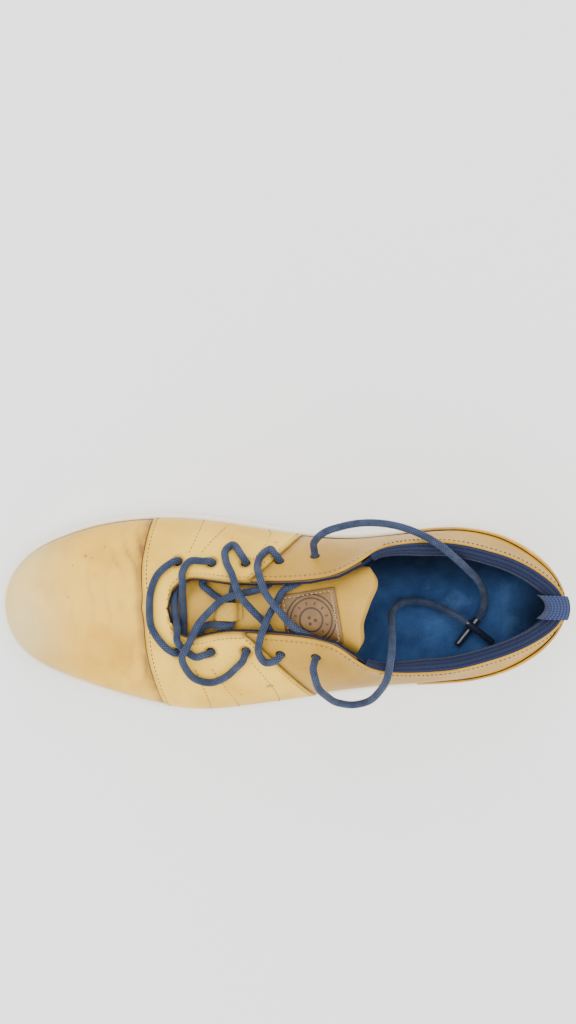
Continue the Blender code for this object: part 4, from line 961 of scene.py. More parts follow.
class ShoeForm:
    """The base surface that every layer of the upper lies under, and the sole's plan."""

    def __init__(self) -> None:
        """Work out both sides."""
        edge = self._closed_curve(SOLE_EDGE)
        edge = np.roll(edge, -int(np.argmax(edge[:, 0])), axis=0)
        heel = int(np.argmin(edge[:, 0]))
        along = unit(np.roll(edge, -1, axis=0) - np.roll(edge, 1, axis=0))
        outward = np.stack([along[:, 1], -along[:, 0]], axis=1)
        lateral = np.arange(heel + 1)
        medial = np.append(np.arange(heel, len(edge)), 0)[::-1]
        self.sides = {1: Side(edge[lateral], outward[lateral], LATERAL_GUIDES),
                      -1: Side(edge[medial], outward[medial], MEDIAL_GUIDES)}
        self.sides[1].joined(self.sides[-1])
        self.sides[-1].joined(self.sides[1])

    @staticmethod
    def _closed_curve(points: Sequence, per_span: int = 24, passes: int = 60) -> Array:
        """A dense smooth closed curve near the points."""
        points = np.asarray(points, float)
        t = np.linspace(0, 1, per_span, endpoint=False)[:, None]
        spans = []
        for i in range(len(points)):
            a, b, c, d = (points[(i + k) % len(points)] for k in (-1, 0, 1, 2))
            spans.append(0.5 * (2 * b + (c - a) * t + (2 * a - 5 * b + 4 * c - d) * t**2
                                + (3 * b - a - 3 * c + d) * t**3))
        return blurred(np.concatenate(spans), passes)

    def frames(self, columns: Array) -> tuple[Array, Array, Array, Array, Array]:
        """Each column's foot, the pulls at foot and top, its top and the way over the top."""
        columns = np.asarray(columns, float)
        columns = np.where(columns > HEEL, columns - 2 * HEEL, columns)
        number = np.abs(columns)
        sets = {}
        for sign, side in self.sides.items():
            values = smooth_values(side.keys, side.all_guides[:, 2:], number)
            top, foot_pull, angle, top_pull = (values[:, :3], values[:, 3], np.radians(values[:, 4]),
                                               values[:, 5])
            plan, out = side.plan(number, CUP_WALL + GAP)
            foot = np.column_stack([plan, wall_top(plan[:, 0])])
            up = unit(np.column_stack([out * 0.07, np.ones(len(out))]))
            sets[sign] = (foot, up * foot_pull[:, None], top, angle, top_pull)
        shared = (number <= THROAT)[:, None]
        ridge = 0.5 * (sets[1][2] + sets[-1][2])
        lateral = columns >= 0
        foot, pull, top, angle, top_pull = (
            np.where(lateral[:, None] if a.ndim == 2 else lateral, a, b)
            for a, b in zip(sets[1], sets[-1]))
        top = np.where(shared, ridge, top)
        inward = unit(top[:, :2] - foot[:, :2])
        over = np.column_stack([inward * np.cos(angle)[:, None], np.sin(angle)])
        return foot, foot + pull, top - over * top_pull[:, None], top, over

    def surface(self, columns: Array, climb: Array) -> Array:
        """Points of the base surface: signed columns by climbs, 0 at the sole and 1 at the top."""
        foot, first, second, top, over = (p[:, None, :] for p in self.frames(columns))
        t = np.asarray(climb, float)
        t = (t[None, :] if t.ndim == 1 else t)[..., None]
        inside = np.clip(t, 0, 1)
        curve = ((1 - inside)**3 * foot + 3 * (1 - inside)**2 * inside * first
                 + 3 * (1 - inside) * inside**2 * second + inside**3 * top)
        below = np.clip(-t, 0, None) * np.array([0.0, 0.0, 1.0]) * 60.0
        return curve + over * np.clip(t - 1, 0, None) - below

    def places(self, columns: Array, climbs: Array, rise: float = 0.0) -> tuple[Array, Array]:
        """Points this far above the surface at pairs of column and climb, and the normals there."""
        columns, climbs = np.asarray(columns, float), np.asarray(climbs, float)
        climbs = climbs[:, None]
        here = self.surface(columns, climbs)[:, 0]
        aft = self.surface(columns + 0.04, climbs)[:, 0] - self.surface(columns - 0.04, climbs)[:, 0]
        normal = unit(np.cross(aft, here - self.surface(columns, climbs - 0.01)[:, 0]))
        return here + normal * rise, normal

    def grid(self, first: float, last: float, step: float = 0.14,
             rows: int = 56) -> tuple[Array, Array, Array, Array]:
        """Columns, climbs, points and surface coordinates of a fine grid that dips into the sole."""
        columns = np.linspace(first, last, int(abs(last - first) / step) + 1)
        climbs = np.linspace(-0.1, 1.0, rows)
        if max(abs(first), abs(last)) <= QUARTER:
            pairs = np.broadcast_arrays(columns[:, None], climbs[None, :])
            shifted = pairs[0] + np.sign(pairs[0]) * seam_shift(*pairs)
            points = self.surface(shifted.ravel(), pairs[1].ravel()[:, None])
            points = points.reshape(*shifted.shape, 3)
        else:
            points = self.surface(columns, climbs)
        u = lengths(points[:, rows // 2]) + (HEEL + first) * 9.0
        v = np.concatenate([np.zeros((len(columns), 1)),
                            np.cumsum(np.linalg.norm(np.diff(points, axis=1), axis=2), axis=1)], axis=1)
        uv = np.stack(np.broadcast_arrays(u[:, None], v), -1)
        return columns, climbs, points, uv

    def spot(self, sign: int, x: float, y: float) -> tuple[Array, Array]:
        """The surface's point and outward normal nearest to a place in plan, on the facing."""
        columns = np.linspace(SEAM, FACING_END + 1, 150) * sign
        climb = np.linspace(0.4, 1.0, 70)
        grid = self.surface(columns, climb)
        near = np.hypot(grid[..., 0] - x, grid[..., 1] - y)
        i, k = np.unravel_index(int(np.argmin(near)), near.shape)
        i, k = np.clip(i, 1, len(columns) - 2), np.clip(k, 1, len(climb) - 2)
        normal = unit(np.cross(grid[i + 1, k] - grid[i - 1, k], grid[i, k + 1] - grid[i, k - 1]))
        return grid[i, k], normal * np.sign(normal[2])

    def eyelet(self, sign: int, number: int) -> tuple[Array, Array]:
        """Place and normal of one eyelet."""
        return self.spot(sign, EYELETS_X[number], EYELETS_Y[sign][number])

    def outline(self, inset: float, height: Callable[[Array], Array] | float) -> Array:
        """A ring round the sole at an inset, at a height given as a number or f(x)."""
        columns = np.linspace(0, HEEL, 5 * HEEL + 1)
        lateral, medial = (self.sides[s].plan(columns, inset)[0] for s in (1, -1))
        plan = np.concatenate([lateral, medial[1:-1][::-1]])
        z = height(plan[:, 0]) if callable(height) else np.full(len(plan), float(height))
        return np.column_stack([plan, z])


FORM = ShoeForm()


# Cords ------------------------------------------------------------------------------------------

ON_FACING = 3.1
LACE_END_HEIGHT = 4.2
# The laced stretch in order, from the last medial eyelet to the last lateral one. A "facing" or
# "tongue" line is x, y and the height above that surface, a "point" line is x, y, z, and a "hole"
# line is a side, an eyelet's number, and the ways the lace leaves it above and below.
LACING = (
    ("start", -1, 4, (0.25, 0.97)),
    ("tongue", -15.5, -20.5, 2.5), ("tongue", -8.5, -16.2, 3.6), ("tongue", -2.5, -13.0, 4.1),
    ("tongue", 1.0, -7.8, 4.2), ("point", 7.0, 1.0, 70.4),
    ("facing", 9.6, 9.5, 4.0), ("facing", 10.0, 15.5, ON_FACING), ("facing", 7.0, 20.5, ON_FACING),
    ("hole", 1, 3, (0.75, 0.66), (0.15, -0.99), "down"),
    ("tongue", 2.0, 8.5, 2.4), ("point", 8.0, 1.8, 64.9), ("point", 14.0, -4.5, 67.4),
    ("point", 20.0, -11.8, 69.4), ("facing", 23.8, -21.0, 3.9), ("facing", 27.0, -27.5, ON_FACING),
    ("facing", 27.8, -32.5, ON_FACING), ("facing", 24.5, -35.0, ON_FACING),
    ("hole", -1, 2, (0.5, -0.86), (0.1, 0.99), "down"),
    ("tongue", 20.5, -19.0, 2.4), ("tongue", 23.4, -14.0, 2.4), ("tongue", 24.0, -8.0, 2.4),
    ("tongue", 24.0, -2.0, 2.4), ("tongue", 24.1, 2.6, 3.2), ("tongue", 25.4, 2.6, 5.6),
    ("tongue", 27.6, 2.1, 6.7), ("tongue", 30.6, 2.4, 6.0), ("tongue", 34.0, 2.8, 3.5),
    ("tongue", 38.0, 4.0, 2.4), ("tongue", 41.0, 6.5, 2.4),
    ("hole", 1, 1, (0.98, 0.2), (0.7, -0.7), "up"),
    ("facing", 41.5, 19.0, ON_FACING), ("facing", 47.5, 16.0, ON_FACING), ("facing", 51.0, 11.0, 4.4),
    ("point", 52.6, 5.6, 57.6), ("tongue", 54.2, 0.8, 5.2), ("tongue", 55.0, -6.0, 2.7),
    ("tongue", 54.0, -14.0, 2.25),
    ("hole", -1, 0, (0.8, 0.6), (0.05, 1.0), "up"),
    ("facing", 61.5, -21.5, ON_FACING), ("facing", 65.5, -12.5, ON_FACING),
    ("facing", 66.2, -4.0, ON_FACING), ("facing", 64.8, 4.0, ON_FACING),
    ("facing", 60.5, 12.0, ON_FACING),
    ("hole", 1, 0, (0.85, -0.5), (-0.3, -0.95), "down"),
    ("tongue", 49.6, 7.0, 2.4), ("tongue", 49.3, 0.5, 2.4), ("tongue", 49.7, -7.0, 2.6),
    ("point", 50.2, -12.0, 54.3), ("point", 49.6, -16.6, 59.8), ("facing", 48.4, -22.0, 4.2),
    ("facing", 45.5, -27.5, ON_FACING),
    ("hole", -1, 1, (0.98, 0.15), (0.5, 0.86), "down"),
    ("tongue", 39.5, -16.5, 2.4), ("tongue", 34.5, -12.0, 2.4), ("tongue", 29.5, -8.5, 2.4),
    ("tongue", 28.6, -2.0, 2.4), ("tongue", 28.6, 2.0, 2.4), ("tongue", 27.6, 5.4, 2.3),
    ("tongue", 23.5, 8.5, 2.3),
    ("hole", 1, 2, (0.3, 0.95), (0.4, -0.9), "up"),
    ("facing", 22.0, 24.0, ON_FACING), ("facing", 28.0, 29.0, ON_FACING),
    ("facing", 36.0, 32.0, ON_FACING),
    ("facing", 43.0, 30.0, 3.6), ("facing", 46.8, 24.0, 5.6), ("facing", 47.4, 16.5, 8.1),
    ("facing", 45.2, 10.0, 5.0), ("point", 41.5, 3.0, 61.0), ("point", 34.8, -4.5, 62.2),
    ("point", 31.0, -8.2, 63.1), ("point", 26.4, -10.8, 63.9), ("point", 20.0, -12.8, 65.0),
    ("point", 15.0, -13.8, 65.5), ("point", 8.0, -16.0, 65.1), ("tongue", 2.8, -18.6, 2.5),
    ("hole", -1, 3, (0.6, -0.8), (0.1, 0.99), "up"),
    ("facing", 4.5, -32.5, ON_FACING), ("facing", 9.3, -29.5, ON_FACING),
    ("facing", 10.8, -24.5, ON_FACING), ("facing", 9.8, -19.9, 3.8),
    ("point", 7.0, -13.0, 73.2), ("point", 2.0, -6.5, 73.0), ("tongue", -8.5, 3.0, 4.5),
    ("tongue", -16.6, 7.6, 4.0),
    ("stop", 1, 4, (0.1, -0.99)),
)
MEDIAL_END = (
    (-18.6, -40.8, 68.5), (-22.5, -44.0, 72.5), (-31.0, -46.8, 72.0), (-46.0, -48.6, 66.5),
    (-58.0, -47.2, 65.0), (-69.0, -43.6, 67.5), (-79.0, -38.2, 69.2), (-87.5, -31.5, 66.0),
    (-96.0, -24.5, 57.0), (-103.5, -17.5, 44.0), (-107.8, -10.5, 33.0), (-108.2, -3.0, 26.9),
)
MEDIAL_AGLET = ((-105.2, 3.0, 26.4), (-94.0, 17.0, 27.6))
LATERAL_END = (
    (-17.4, 28.5, 76.0), (-19.0, 33.5, 73.0), (-23.5, 39.0, 65.0), (-29.5, 43.5, 57.0),
    (-37.0, 45.0, 54.0), (-44.5, 42.8, 58.0), (-50.0, 36.5, 66.5), (-53.5, 28.5, 74.0),
    (-55.0, 20.5, 75.0), (-56.5, 12.0, 66.0), (-57.5, 3.5, 50.0), (-59.5, -2.5, 36.5),
    (-65.5, -6.0, 29.5), (-74.0, -6.2, 28.6), (-84.0, -3.6, 30.2), (-92.5, 0.6, 31.8),
)
LATERAL_AGLET = ((-98.3, 4.2, 32.6), (-113.0, 15.6, 29.2))


def table(keys: Sequence, x: Array | float) -> Array:
    """Values at x of a smooth curve through (x, value) keys, in either order of x."""
    places, values = zip(*sorted(keys))
    x = np.asarray(x, float)
    return smooth_values(places, values, x.ravel()).reshape(x.shape)


class TongueForm:
    """The tongue's upper face: an arch across, climbing towards a slanted tip."""

    def top(self, x: Array | float, y: Array | float) -> Array:
        """Height over a place in plan."""
        radius = table(TONGUE_ARCH, x)
        off = np.minimum(np.abs(np.asarray(y) - TONGUE_CENTRE_Y), 0.95 * radius)
        return table(TONGUE_HEIGHT, x) - radius + np.sqrt(radius**2 - off**2)

    def point(self, x: Array | float, y: Array | float, depth: Array | float) -> Array:
        """The point this deep under a place, along the normal; a negative depth is above."""
        step = 0.5
        slope_x = (self.top(x + step, y) - self.top(x - step, y)) / (2 * step)
        slope_y = (self.top(x, y + step) - self.top(x, y - step)) / (2 * step)
        normal = unit(np.stack(np.broadcast_arrays(-slope_x, -slope_y, np.ones_like(slope_x)), -1))
        here = np.stack(np.broadcast_arrays(np.asarray(x, float), y, self.top(x, y)), -1)
        return here - normal * np.asarray(depth, float)[..., None]

    def stations(self, xs: Array, across: int) -> tuple[Array, Array]:
        """Plan places of lines across the tongue, bending towards the slanted tip."""
        share = np.linspace(0, 1, across)[None, :]
        edges = (TONGUE_MEDIAL_EDGE, TONGUE_LATERAL_EDGE)
        medial, lateral = (table(edge, xs)[:, None] for edge in edges)
        y = medial + (lateral - medial) * share
        bend = ease(xs / TONGUE_TIP_X)[:, None]
        return xs[:, None] + bend * (table(TONGUE_TIP, y) - TONGUE_TIP_X), y


TONGUE = TongueForm()


def label_plan(a: Array, b: Array) -> tuple[Array, Array]:
    """Plan places on the label, by distance from its centre along and across it."""
    cosine, sine = math.cos(LABEL_TURN), math.sin(LABEL_TURN)
    return LABEL_X + a * cosine - b * sine, a * sine + b * cosine


class LaceRoute:
    """Where the lace runs."""

    def facing(self, x: float, y: float, rise: float) -> Array:
        """The point this far above the facing over a place in plan."""
        point, normal = FORM.spot(1 if y > TONGUE_CENTRE_Y else -1, x, y)
        return point + normal * rise

    def hole(self, sign: int, number: int, above: Sequence[float] | None,
             below: Sequence[float]) -> list[Array]:
        """Points through an eyelet from above to below, bending away at both ends."""
        point, normal = FORM.eyelet(sign, number)
        bends = []
        for way in (above, below):
            way = np.array([*(way or (0, 0)), 0.0])
            bends.append(way - normal * (way @ normal))
        up, down = bends
        points = [point + normal * 1.4, point - normal * 4.6,
                  point - normal * 6.0 + down * 1.1, point - normal * 6.45 + down * 3.4]
        if above is None:
            return [point + normal * LACE_END_HEIGHT, *points]
        return [point + normal * 3.4 + up * 3.5, point + normal * 2.8 + up * 1.1, *points]

    def laced(self) -> Array:
        """The dense line of the laced stretch."""
        points: list[Array] = []
        for kind, *values in LACING:
            if kind == "facing":
                points.append(self.facing(*values))
            elif kind == "tongue":
                points.append(TONGUE.point(values[0], values[1], -values[2]))
            elif kind == "point":
                points.append(np.array(values))
            elif kind == "start":
                points += self.hole(values[0], values[1], None, values[2])
            elif kind == "stop":
                points += self.hole(values[0], values[1], None, values[2])[::-1]
            else:
                sign, number, above, below, way = values
                through = self.hole(sign, number, above, below)
                points += through if way == "down" else through[::-1]
        return smooth_route(points, 0.8)

    def free(self, sign: int, points: Sequence, aglet: Sequence) -> Array:
        """The dense line of a free end, from its eyelet to the aglet."""
        eyelet, normal = FORM.eyelet(sign, 4)
        first = eyelet + normal * (LACE_END_HEIGHT + 0.1)
        along = unit(np.array(aglet[1]) - np.array(aglet[0]))
        last = np.array(aglet[0])
        route = [first, first + normal * 2.0, *np.array(points), last - along * 2.0, last]
        return smooth_route(route, 0.8)


# Sub-assemblies ---------------------------------------------------------------------------------

@dataclass
class Sole:
    """Cup sole, footbed and the pads under the shoe."""

    finishes: Finishes
    profile: tuple[tuple[float, float], ...] = (
        (3.0, SOLE_UNDERSIDE), (1.9, 1.35), (1.0, 1.9), (0.55, 2.9), (0.2, 4.4), (0.0, 6.5))
    rim: tuple[tuple[float, float], ...] = (
        (0.1, -6.0), (0.3, -3.4), (0.75, -3.0), (0.75, -2.6), (0.4, -2.2), (0.6, -1.1), (0.9, -0.45),
        (1.35, -0.1), (1.9, 0.0), (2.6, -0.1), (3.05, -0.35), (CUP_WALL, -0.8))
    seats: tuple[tuple[int, int, float], ...] = ((0, 13, -8.3), (27, 37, -71.7))
    seat_inset: float = 5.7
    seat_top: float = 2.7

    def build(self) -> None:
        """Make the sole's visible pieces."""
        self._cup()
        self._footbed()

    @staticmethod
    def _stacked(rings: Sequence[Array]) -> MeshData:
        """A solid through rings round the sole, closed across by strips."""
        size = len(rings[0])
        half = size // 2
        points = np.concatenate(rings)
        faces = []
        for i in range(len(rings) - 1):
            for k in range(size):
                n = (k + 1) % size
                faces.append((i * size + k, i * size + n, (i + 1) * size + n, (i + 1) * size + k))
        for base in (0, (len(rings) - 1) * size):
            for k in range(half):
                corners = [k, k + 1, (size - k - 1) % size, (size - k) % size]
                faces.append(tuple(base + c for i, c in enumerate(corners) if c not in corners[:i]))
        return MeshData(points, faces, points[:, :2].copy())

    @staticmethod
    def _slab(lines: Array, bottom: Array | float, top: Array | float) -> MeshData:
        """A closed slab over a grid of plan points."""
        high, low = (np.dstack([lines, np.broadcast_to(z, lines.shape[:2])]) for z in (top, bottom))
        return slab(high, low, lines)

    @staticmethod
    def _across(columns: Array, inset: float, across: int) -> Array:
        """Lines of plan points from the medial to the lateral edge."""
        medial, lateral = (FORM.sides[s].plan(columns, inset)[0] for s in (-1, 1))
        share = np.linspace(0, 1, across)[None, :, None]
        return medial[:, None] + (lateral - medial)[:, None] * share

    def _cup(self) -> None:
        """The cup of the sole, with seats for its two pads underneath."""
        rings = [FORM.outline(inset, height) for inset, height in self.profile]
        rings += [FORM.outline(inset, lambda x, drop=drop: wall_top(x) + drop)
                  for inset, drop in self.rim]
        rings.append(FORM.outline(CUP_WALL, CUP_FLOOR))
        cup = self._stacked(rings).object("cup_sole_look", self.finishes.sole)
        seats = []
        for first, last, x_end in self.seats:
            lines = self._across(np.linspace(first, last, 3 * (last - first) + 1), self.seat_inset, 2)
            side_ends = [side.at_arc(side.arc_at_x(x_end), self.seat_inset)[0]
                         for side in (FORM.sides[-1], FORM.sides[1])]
            end = np.array([side_ends])
            lines = np.concatenate([lines, end] if first == 0 else [end, lines])
            seats.append(self._slab(lines, -3.0, self.seat_top).object("seat", self.finishes.sole))
        cut(cup, seats, 35.0)
        place(cup, "sole", "cup_sole")

    def _footbed(self) -> None:
        """The footbed, cupped at the heel, with the hollows that a foot has pressed into it."""
        inset = CUP_WALL + GAP + 4.2 + 3 * GAP
        lines = self._across(np.linspace(0, HEEL, 260), inset, 90)
        x, y = lines[..., 0], lines[..., 1]
        edge = np.concatenate([side.edge[::3] for side in FORM.sides.values()])
        reach = np.full(x.shape, 1e9)
        for ex, ey in edge:
            reach = np.minimum(reach, np.hypot(x - ex, y - ey))
        rim = ease(1 - (reach - inset) / 20.0)
        zone = ease((40.0 - x) / 70.0)
        top = board_top(x) + GAP + FOOTBED_THICKNESS + 5.0 * rim * zone
        for cx, cy, rx, ry, deep in FOOT_HOLLOWS:
            top -= deep * np.exp(-((x - cx) / rx)**2 - ((y - cy) / ry)**2)
        data = self._slab(lines, board_top(x) + GAP, top)
        bed = data.object("footbed_look", self.finishes.footbed, bevel=0.4)
        place(bed, "footbed", "footbed")


def place(made: bpy.types.Object, slot: str, *nodes: str, body: str = SHOE) -> bpy.types.Object:
    """Let the object ride a body and stand for CAD nodes."""
    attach(made, body)
    if nodes:
        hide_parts(*nodes)
    return made


@dataclass
class Upper:
    """The leather of the upper."""

    finishes: Finishes

    def build(self) -> None:
        """Make the leather panels."""
        self._vamp()
        self._front_quarters()
        for sign, name in ((1, "lateral"), (-1, "medial")):
            self._rear_quarter(sign, name)
        self._heel_cover()

    @staticmethod
    def _foot_dirt_and_shade(climbs: Array) -> Array:
        """Dirt and painted shade where the upper meets the sole's rim."""
        return 0.35 * np.exp(-np.clip(climbs, 0, None) / 0.03)[None, :]

    def _vamp(self) -> None:
        """The vamp, with creases where the toes bend beside the medial seam."""
        columns, climbs, points, uv = FORM.grid(-SEAM + 0.05, SEAM - 0.05)
        outer = np.zeros(points.shape[:2])
        soil = np.zeros(points.shape[:2])
        x, y = points[..., 0], points[..., 1]
        for cx, cy, turn, long, deep in CREASES:
            across = (x - cx) * math.cos(turn) + (y - cy) * math.sin(turn)
            along = -(x - cx) * math.sin(turn) + (y - cy) * math.cos(turn)
            across = across + 1.2 * np.sin(along * 0.22)
            fade = np.exp(-(along / long)**2)
            swell = 0.5 * np.exp(-((np.abs(across) - 3.0) / 1.6)**2)
            outer += deep * fade * (np.exp(-(across / 1.1)**2) - swell)
            # Dirt and painted shade along the floor of each crease.
            soil += deep * 1.2 * fade * np.exp(-(across / 1.0)**2)
        # Dirt and painted shade along the vamp's edges at the seams.
        edge = np.minimum(SEAM - 0.05 - np.abs(columns), 0.6)[:, None] / 0.6
        soil = soil + 0.7 * (1 - ease(edge)) + self._foot_dirt_and_shade(climbs)
        data = shell([Patch(points, uv, outer, LEATHER_THICKNESS, soil)])
        place(data.object("vamp_look", self.finishes.light, bevel=0.3), "light_leather", "vamp")

    def _front_quarters(self) -> None:
        """The front quarters, standing a little proud, with a soft dip round each eyelet."""
        patches = []
        for sign in (1, -1):
            first, last = (SEAM + 0.05, QUARTER - 0.04) if sign > 0 else (-QUARTER + 0.04, -SEAM - 0.05)
            columns, climbs, points, uv = FORM.grid(first, last, step=0.09, rows=80)
            outer = np.tile(-QUARTER_PROUD * ease(climbs / 0.13), (len(columns), 1))
            soil = np.zeros(points.shape[:2])
            for number in range(len(EYELETS_X)):
                spot, _ = FORM.eyelet(sign, number)
                reach = np.linalg.norm(points - spot, axis=2)
                outer += 0.55 * np.exp(-(np.clip(reach - 2.0, 0, None) / 1.5)**2)
                # Dirt and painted shade round each eyelet's rim.
                soil += 0.85 * np.exp(-(np.clip(reach - 2.9, 0, None) / 0.8)**2)
            number = np.abs(columns)
            # Dirt and painted shade along the panel's edges, its foot and the throat's edge.
            edge = np.minimum(number - SEAM, QUARTER - number)[:, None] / 0.35
            soil += 0.5 * (1 - ease(edge)) + self._foot_dirt_and_shade(climbs)
            throat = ((1 - climbs)[None, :] * 60.0 / 1.6) + 50.0 * (number < THROAT)[:, None]
            soil += 0.45 * np.exp(-throat**2 / 2)
            outer += 0.18 * np.sin(uv[..., 0] * 0.11 + 1.0) * np.sin(uv[..., 1] * 0.14)
            patches.append(Patch(points, uv, outer, LEATHER_THICKNESS, soil))
        made = shell(patches).object("front_quarters_look", self.finishes.quarter, bevel=0.35)
        self._punch(made, (1, -1))
        place(made, "light_leather", "front_quarters")

    def _rear_quarter(self, sign: int, name: str) -> None:
        """The darker smooth quarter round the ankle."""
        first, last = (QUARTER + 0.04, HEEL) if sign > 0 else (-HEEL, -QUARTER - 0.04)
        columns, climbs, points, uv = FORM.grid(first, last)
        # Dirt and painted shade along the seam under the front quarter and at the foot.
        soil = 0.9 * (1 - ease((np.abs(columns) - QUARTER) / 0.4))[:, None] + self._foot_dirt_and_shade(climbs)
        outer = 0.22 * np.sin(uv[..., 0] * 0.09) * np.sin(uv[..., 1] * 0.12 + 0.7) + 0.22
        outer = outer * ease((np.abs(columns) - QUARTER) / 1.5)[:, None]
        data = shell([Patch(points, uv, outer, LEATHER_THICKNESS, soil)])
        made = data.object(f"rear_quarter_{name}_look", self.finishes.dark, bevel=0.35)
        self._punch(made, (sign,))
        place(made, "dark_leather", f"rear_quarter_{name}")

    def _punch(self, made: bpy.types.Object, signs: Iterable[int]) -> None:
        """Cut the eyelets of these sides through a panel."""
        cutters = []
        for sign in signs:
            for number in range(len(EYELETS_X)):
                spot, normal = FORM.eyelet(sign, number)
                line = np.array([spot - normal * 8.0, spot, spot + normal * 8.0])
                cutters.append(tube(line, EYELET_RADIUS, 28).object("punch", self.finishes.dark))
        cut(made, cutters)

    def _heel_cover(self) -> None:
        """The light band round the heel."""
        first, foot, rows = COVER_TOP[0][0], 0.04, 30
        columns = np.linspace(first, 2 * HEEL - first, 300)
        number = np.minimum(columns, 2 * HEEL - columns)
        tops = table(COVER_TOP, number)
        climbs = foot + (tops[:, None] - foot) * np.linspace(0, 1, rows)[None, :]
        points = FORM.surface(columns, climbs)
        rise = np.linalg.norm(np.diff(points, axis=1, prepend=points[:, :1]), axis=2)
        u, v = lengths(points[:, rows // 3]), np.cumsum(rise, axis=1)
        uv = np.stack(np.broadcast_arrays(u[:, None], v), -1)
        # Dirt and painted shade along the cover's top edge.
        soil = 0.5 * np.exp(-np.linspace(1, 0, rows) / 0.06)[None, :]
        data = shell([Patch(points, uv, -1.45, -0.45, soil)])
        cover = data.object("heel_cover_look", self.finishes.light, bevel=0.3)
        place(cover, "light_leather", "heel_cover")


@dataclass
class Collar:
    """The knit collar with its foam roll, and the tab over the heel."""

    finishes: Finishes
    first: float = FACING_END + 0.6
    rib: float = 2.6
    rib_height: float = 0.42

    def build(self) -> None:
        """Make the collar's visible pieces."""
        columns = np.linspace(self.first, 2 * HEEL - self.first, 420)
        outside = self._line(KNIT_OUTSIDE, 64)
        inside = np.array([(WALL_FOOT, 4.2), (WALL_FOOT, 3.2)])
        back = self._line(KNIT_INSIDE, 24)
        section = np.concatenate([outside, inside, back])
        along = lengths(outside)
        ripple = np.zeros(len(section))
        zone = ease((along - 1.0) / 1.5) * (1 - ease((along - 12.0) / 3.0))
        ripple[:len(along)] = zone * self.rib_height * np.sin(along * math.tau / self.rib)
        rings = self._rings(columns, section, ripple)
        knit = ring_solid(rings).object("collar_knit_look", self.finishes.knit)
        place(knit, "knit", "collar_lining")
        rings = self._rings(columns[::3], np.array(COLLAR_FOAM), np.zeros(len(COLLAR_FOAM)))
        foam = ring_solid(rings).object("collar_foam_look", self.finishes.foam)
        place(foam, "foam", "collar_padding")
        self._tab()

    @staticmethod
    def _line(section: Sequence, count: int) -> Array:
        """A dense smooth line through points of a cross-section."""
        points = np.asarray(section, float)
        keys = lengths(points)
        return smooth_values(keys, points, np.linspace(0, keys[-1], count))

    def _rings(self, columns: Array, section: Array, ripple: Array) -> Array:
        """Rings of points round the collar, which thins out towards its two ends."""
        reach = np.minimum(columns - self.first, 2 * HEEL - self.first - columns)
        share = (0.5 + 0.5 * ease(reach / 3.0))[:, None]
        drop = np.broadcast_to(section[:, 0], (len(columns), len(section)))
        leather_back = LEATHER_THICKNESS + GAP
        thinned = np.where(drop < WALL_FOOT, share, 1.0)
        depth = leather_back + (section[None, :, 1] - leather_back) * thinned + ripple[None, :]
        return wall_points(columns, drop, depth)

    def _tab(self) -> None:
        """The woven tab that wraps over the back of the collar."""
        section = np.asarray(TAB_SECTION, float)
        section = np.concatenate([self._line(section[:9], 40), self._line(section[9:], 36)])
        rings = []
        for share in np.linspace(-1, 1, 21):
            inside = np.clip(section[:, 1], 0, None) / 10.1
            setback = 1.3 + 2.9 * inside
            thin = 0.18 * share**6
            base = wall_points(np.array([float(HEEL)]), section[None, :, 0], section[None, :, 1])[0]
            ring = base + np.column_stack([setback * share**2, np.full(len(section), 6.0 * share),
                                           np.full(len(section), -thin)])
            rings.append(ring)
        tab = ring_solid(np.array(rings)).object("heel_tab_look", self.finishes.tab, bevel=0.25)
        place(tab, "tab", "heel_tab")


def wall_points(columns: Array, drop: Array, depth: Array) -> Array:
    """Points on the wall, by the drop below the topline and the depth under the base surface."""
    climb = np.linspace(1.0, 0.0, 60)
    line = FORM.surface(columns, climb)
    aft = FORM.surface(columns + 0.12, climb) - FORM.surface(columns - 0.12, climb)
    down = np.gradient(line, axis=1)
    normal = -unit(np.cross(aft, down))
    normal[..., :] *= np.where((normal[..., :2] * (line[..., :2] - (-60.0, -5.0))).sum(-1).mean(1) < 0,
                               -1.0, 1.0)[:, None, None]
    over = FORM.frames(columns)[-1]
    foot = line[:, -1].copy()
    foot[:, 2] = board_top(foot[:, 0]) + GAP
    line = np.concatenate([line, foot[:, None]], axis=1)
    normal = np.concatenate([normal, normal[:, -1:]], axis=1)
    result = np.empty((*drop.shape, 3))
    for i in range(len(columns)):
        keys = lengths(line[i])
        inside = np.clip(drop[i], 0, keys[-1])
        here = at_lengths(inside, keys, line[i])
        out = unit(at_lengths(inside, keys, normal[i]))
        result[i] = here - out * depth[i][:, None] + over[i] * np.clip(-drop[i], 0, None)[:, None]
    return result


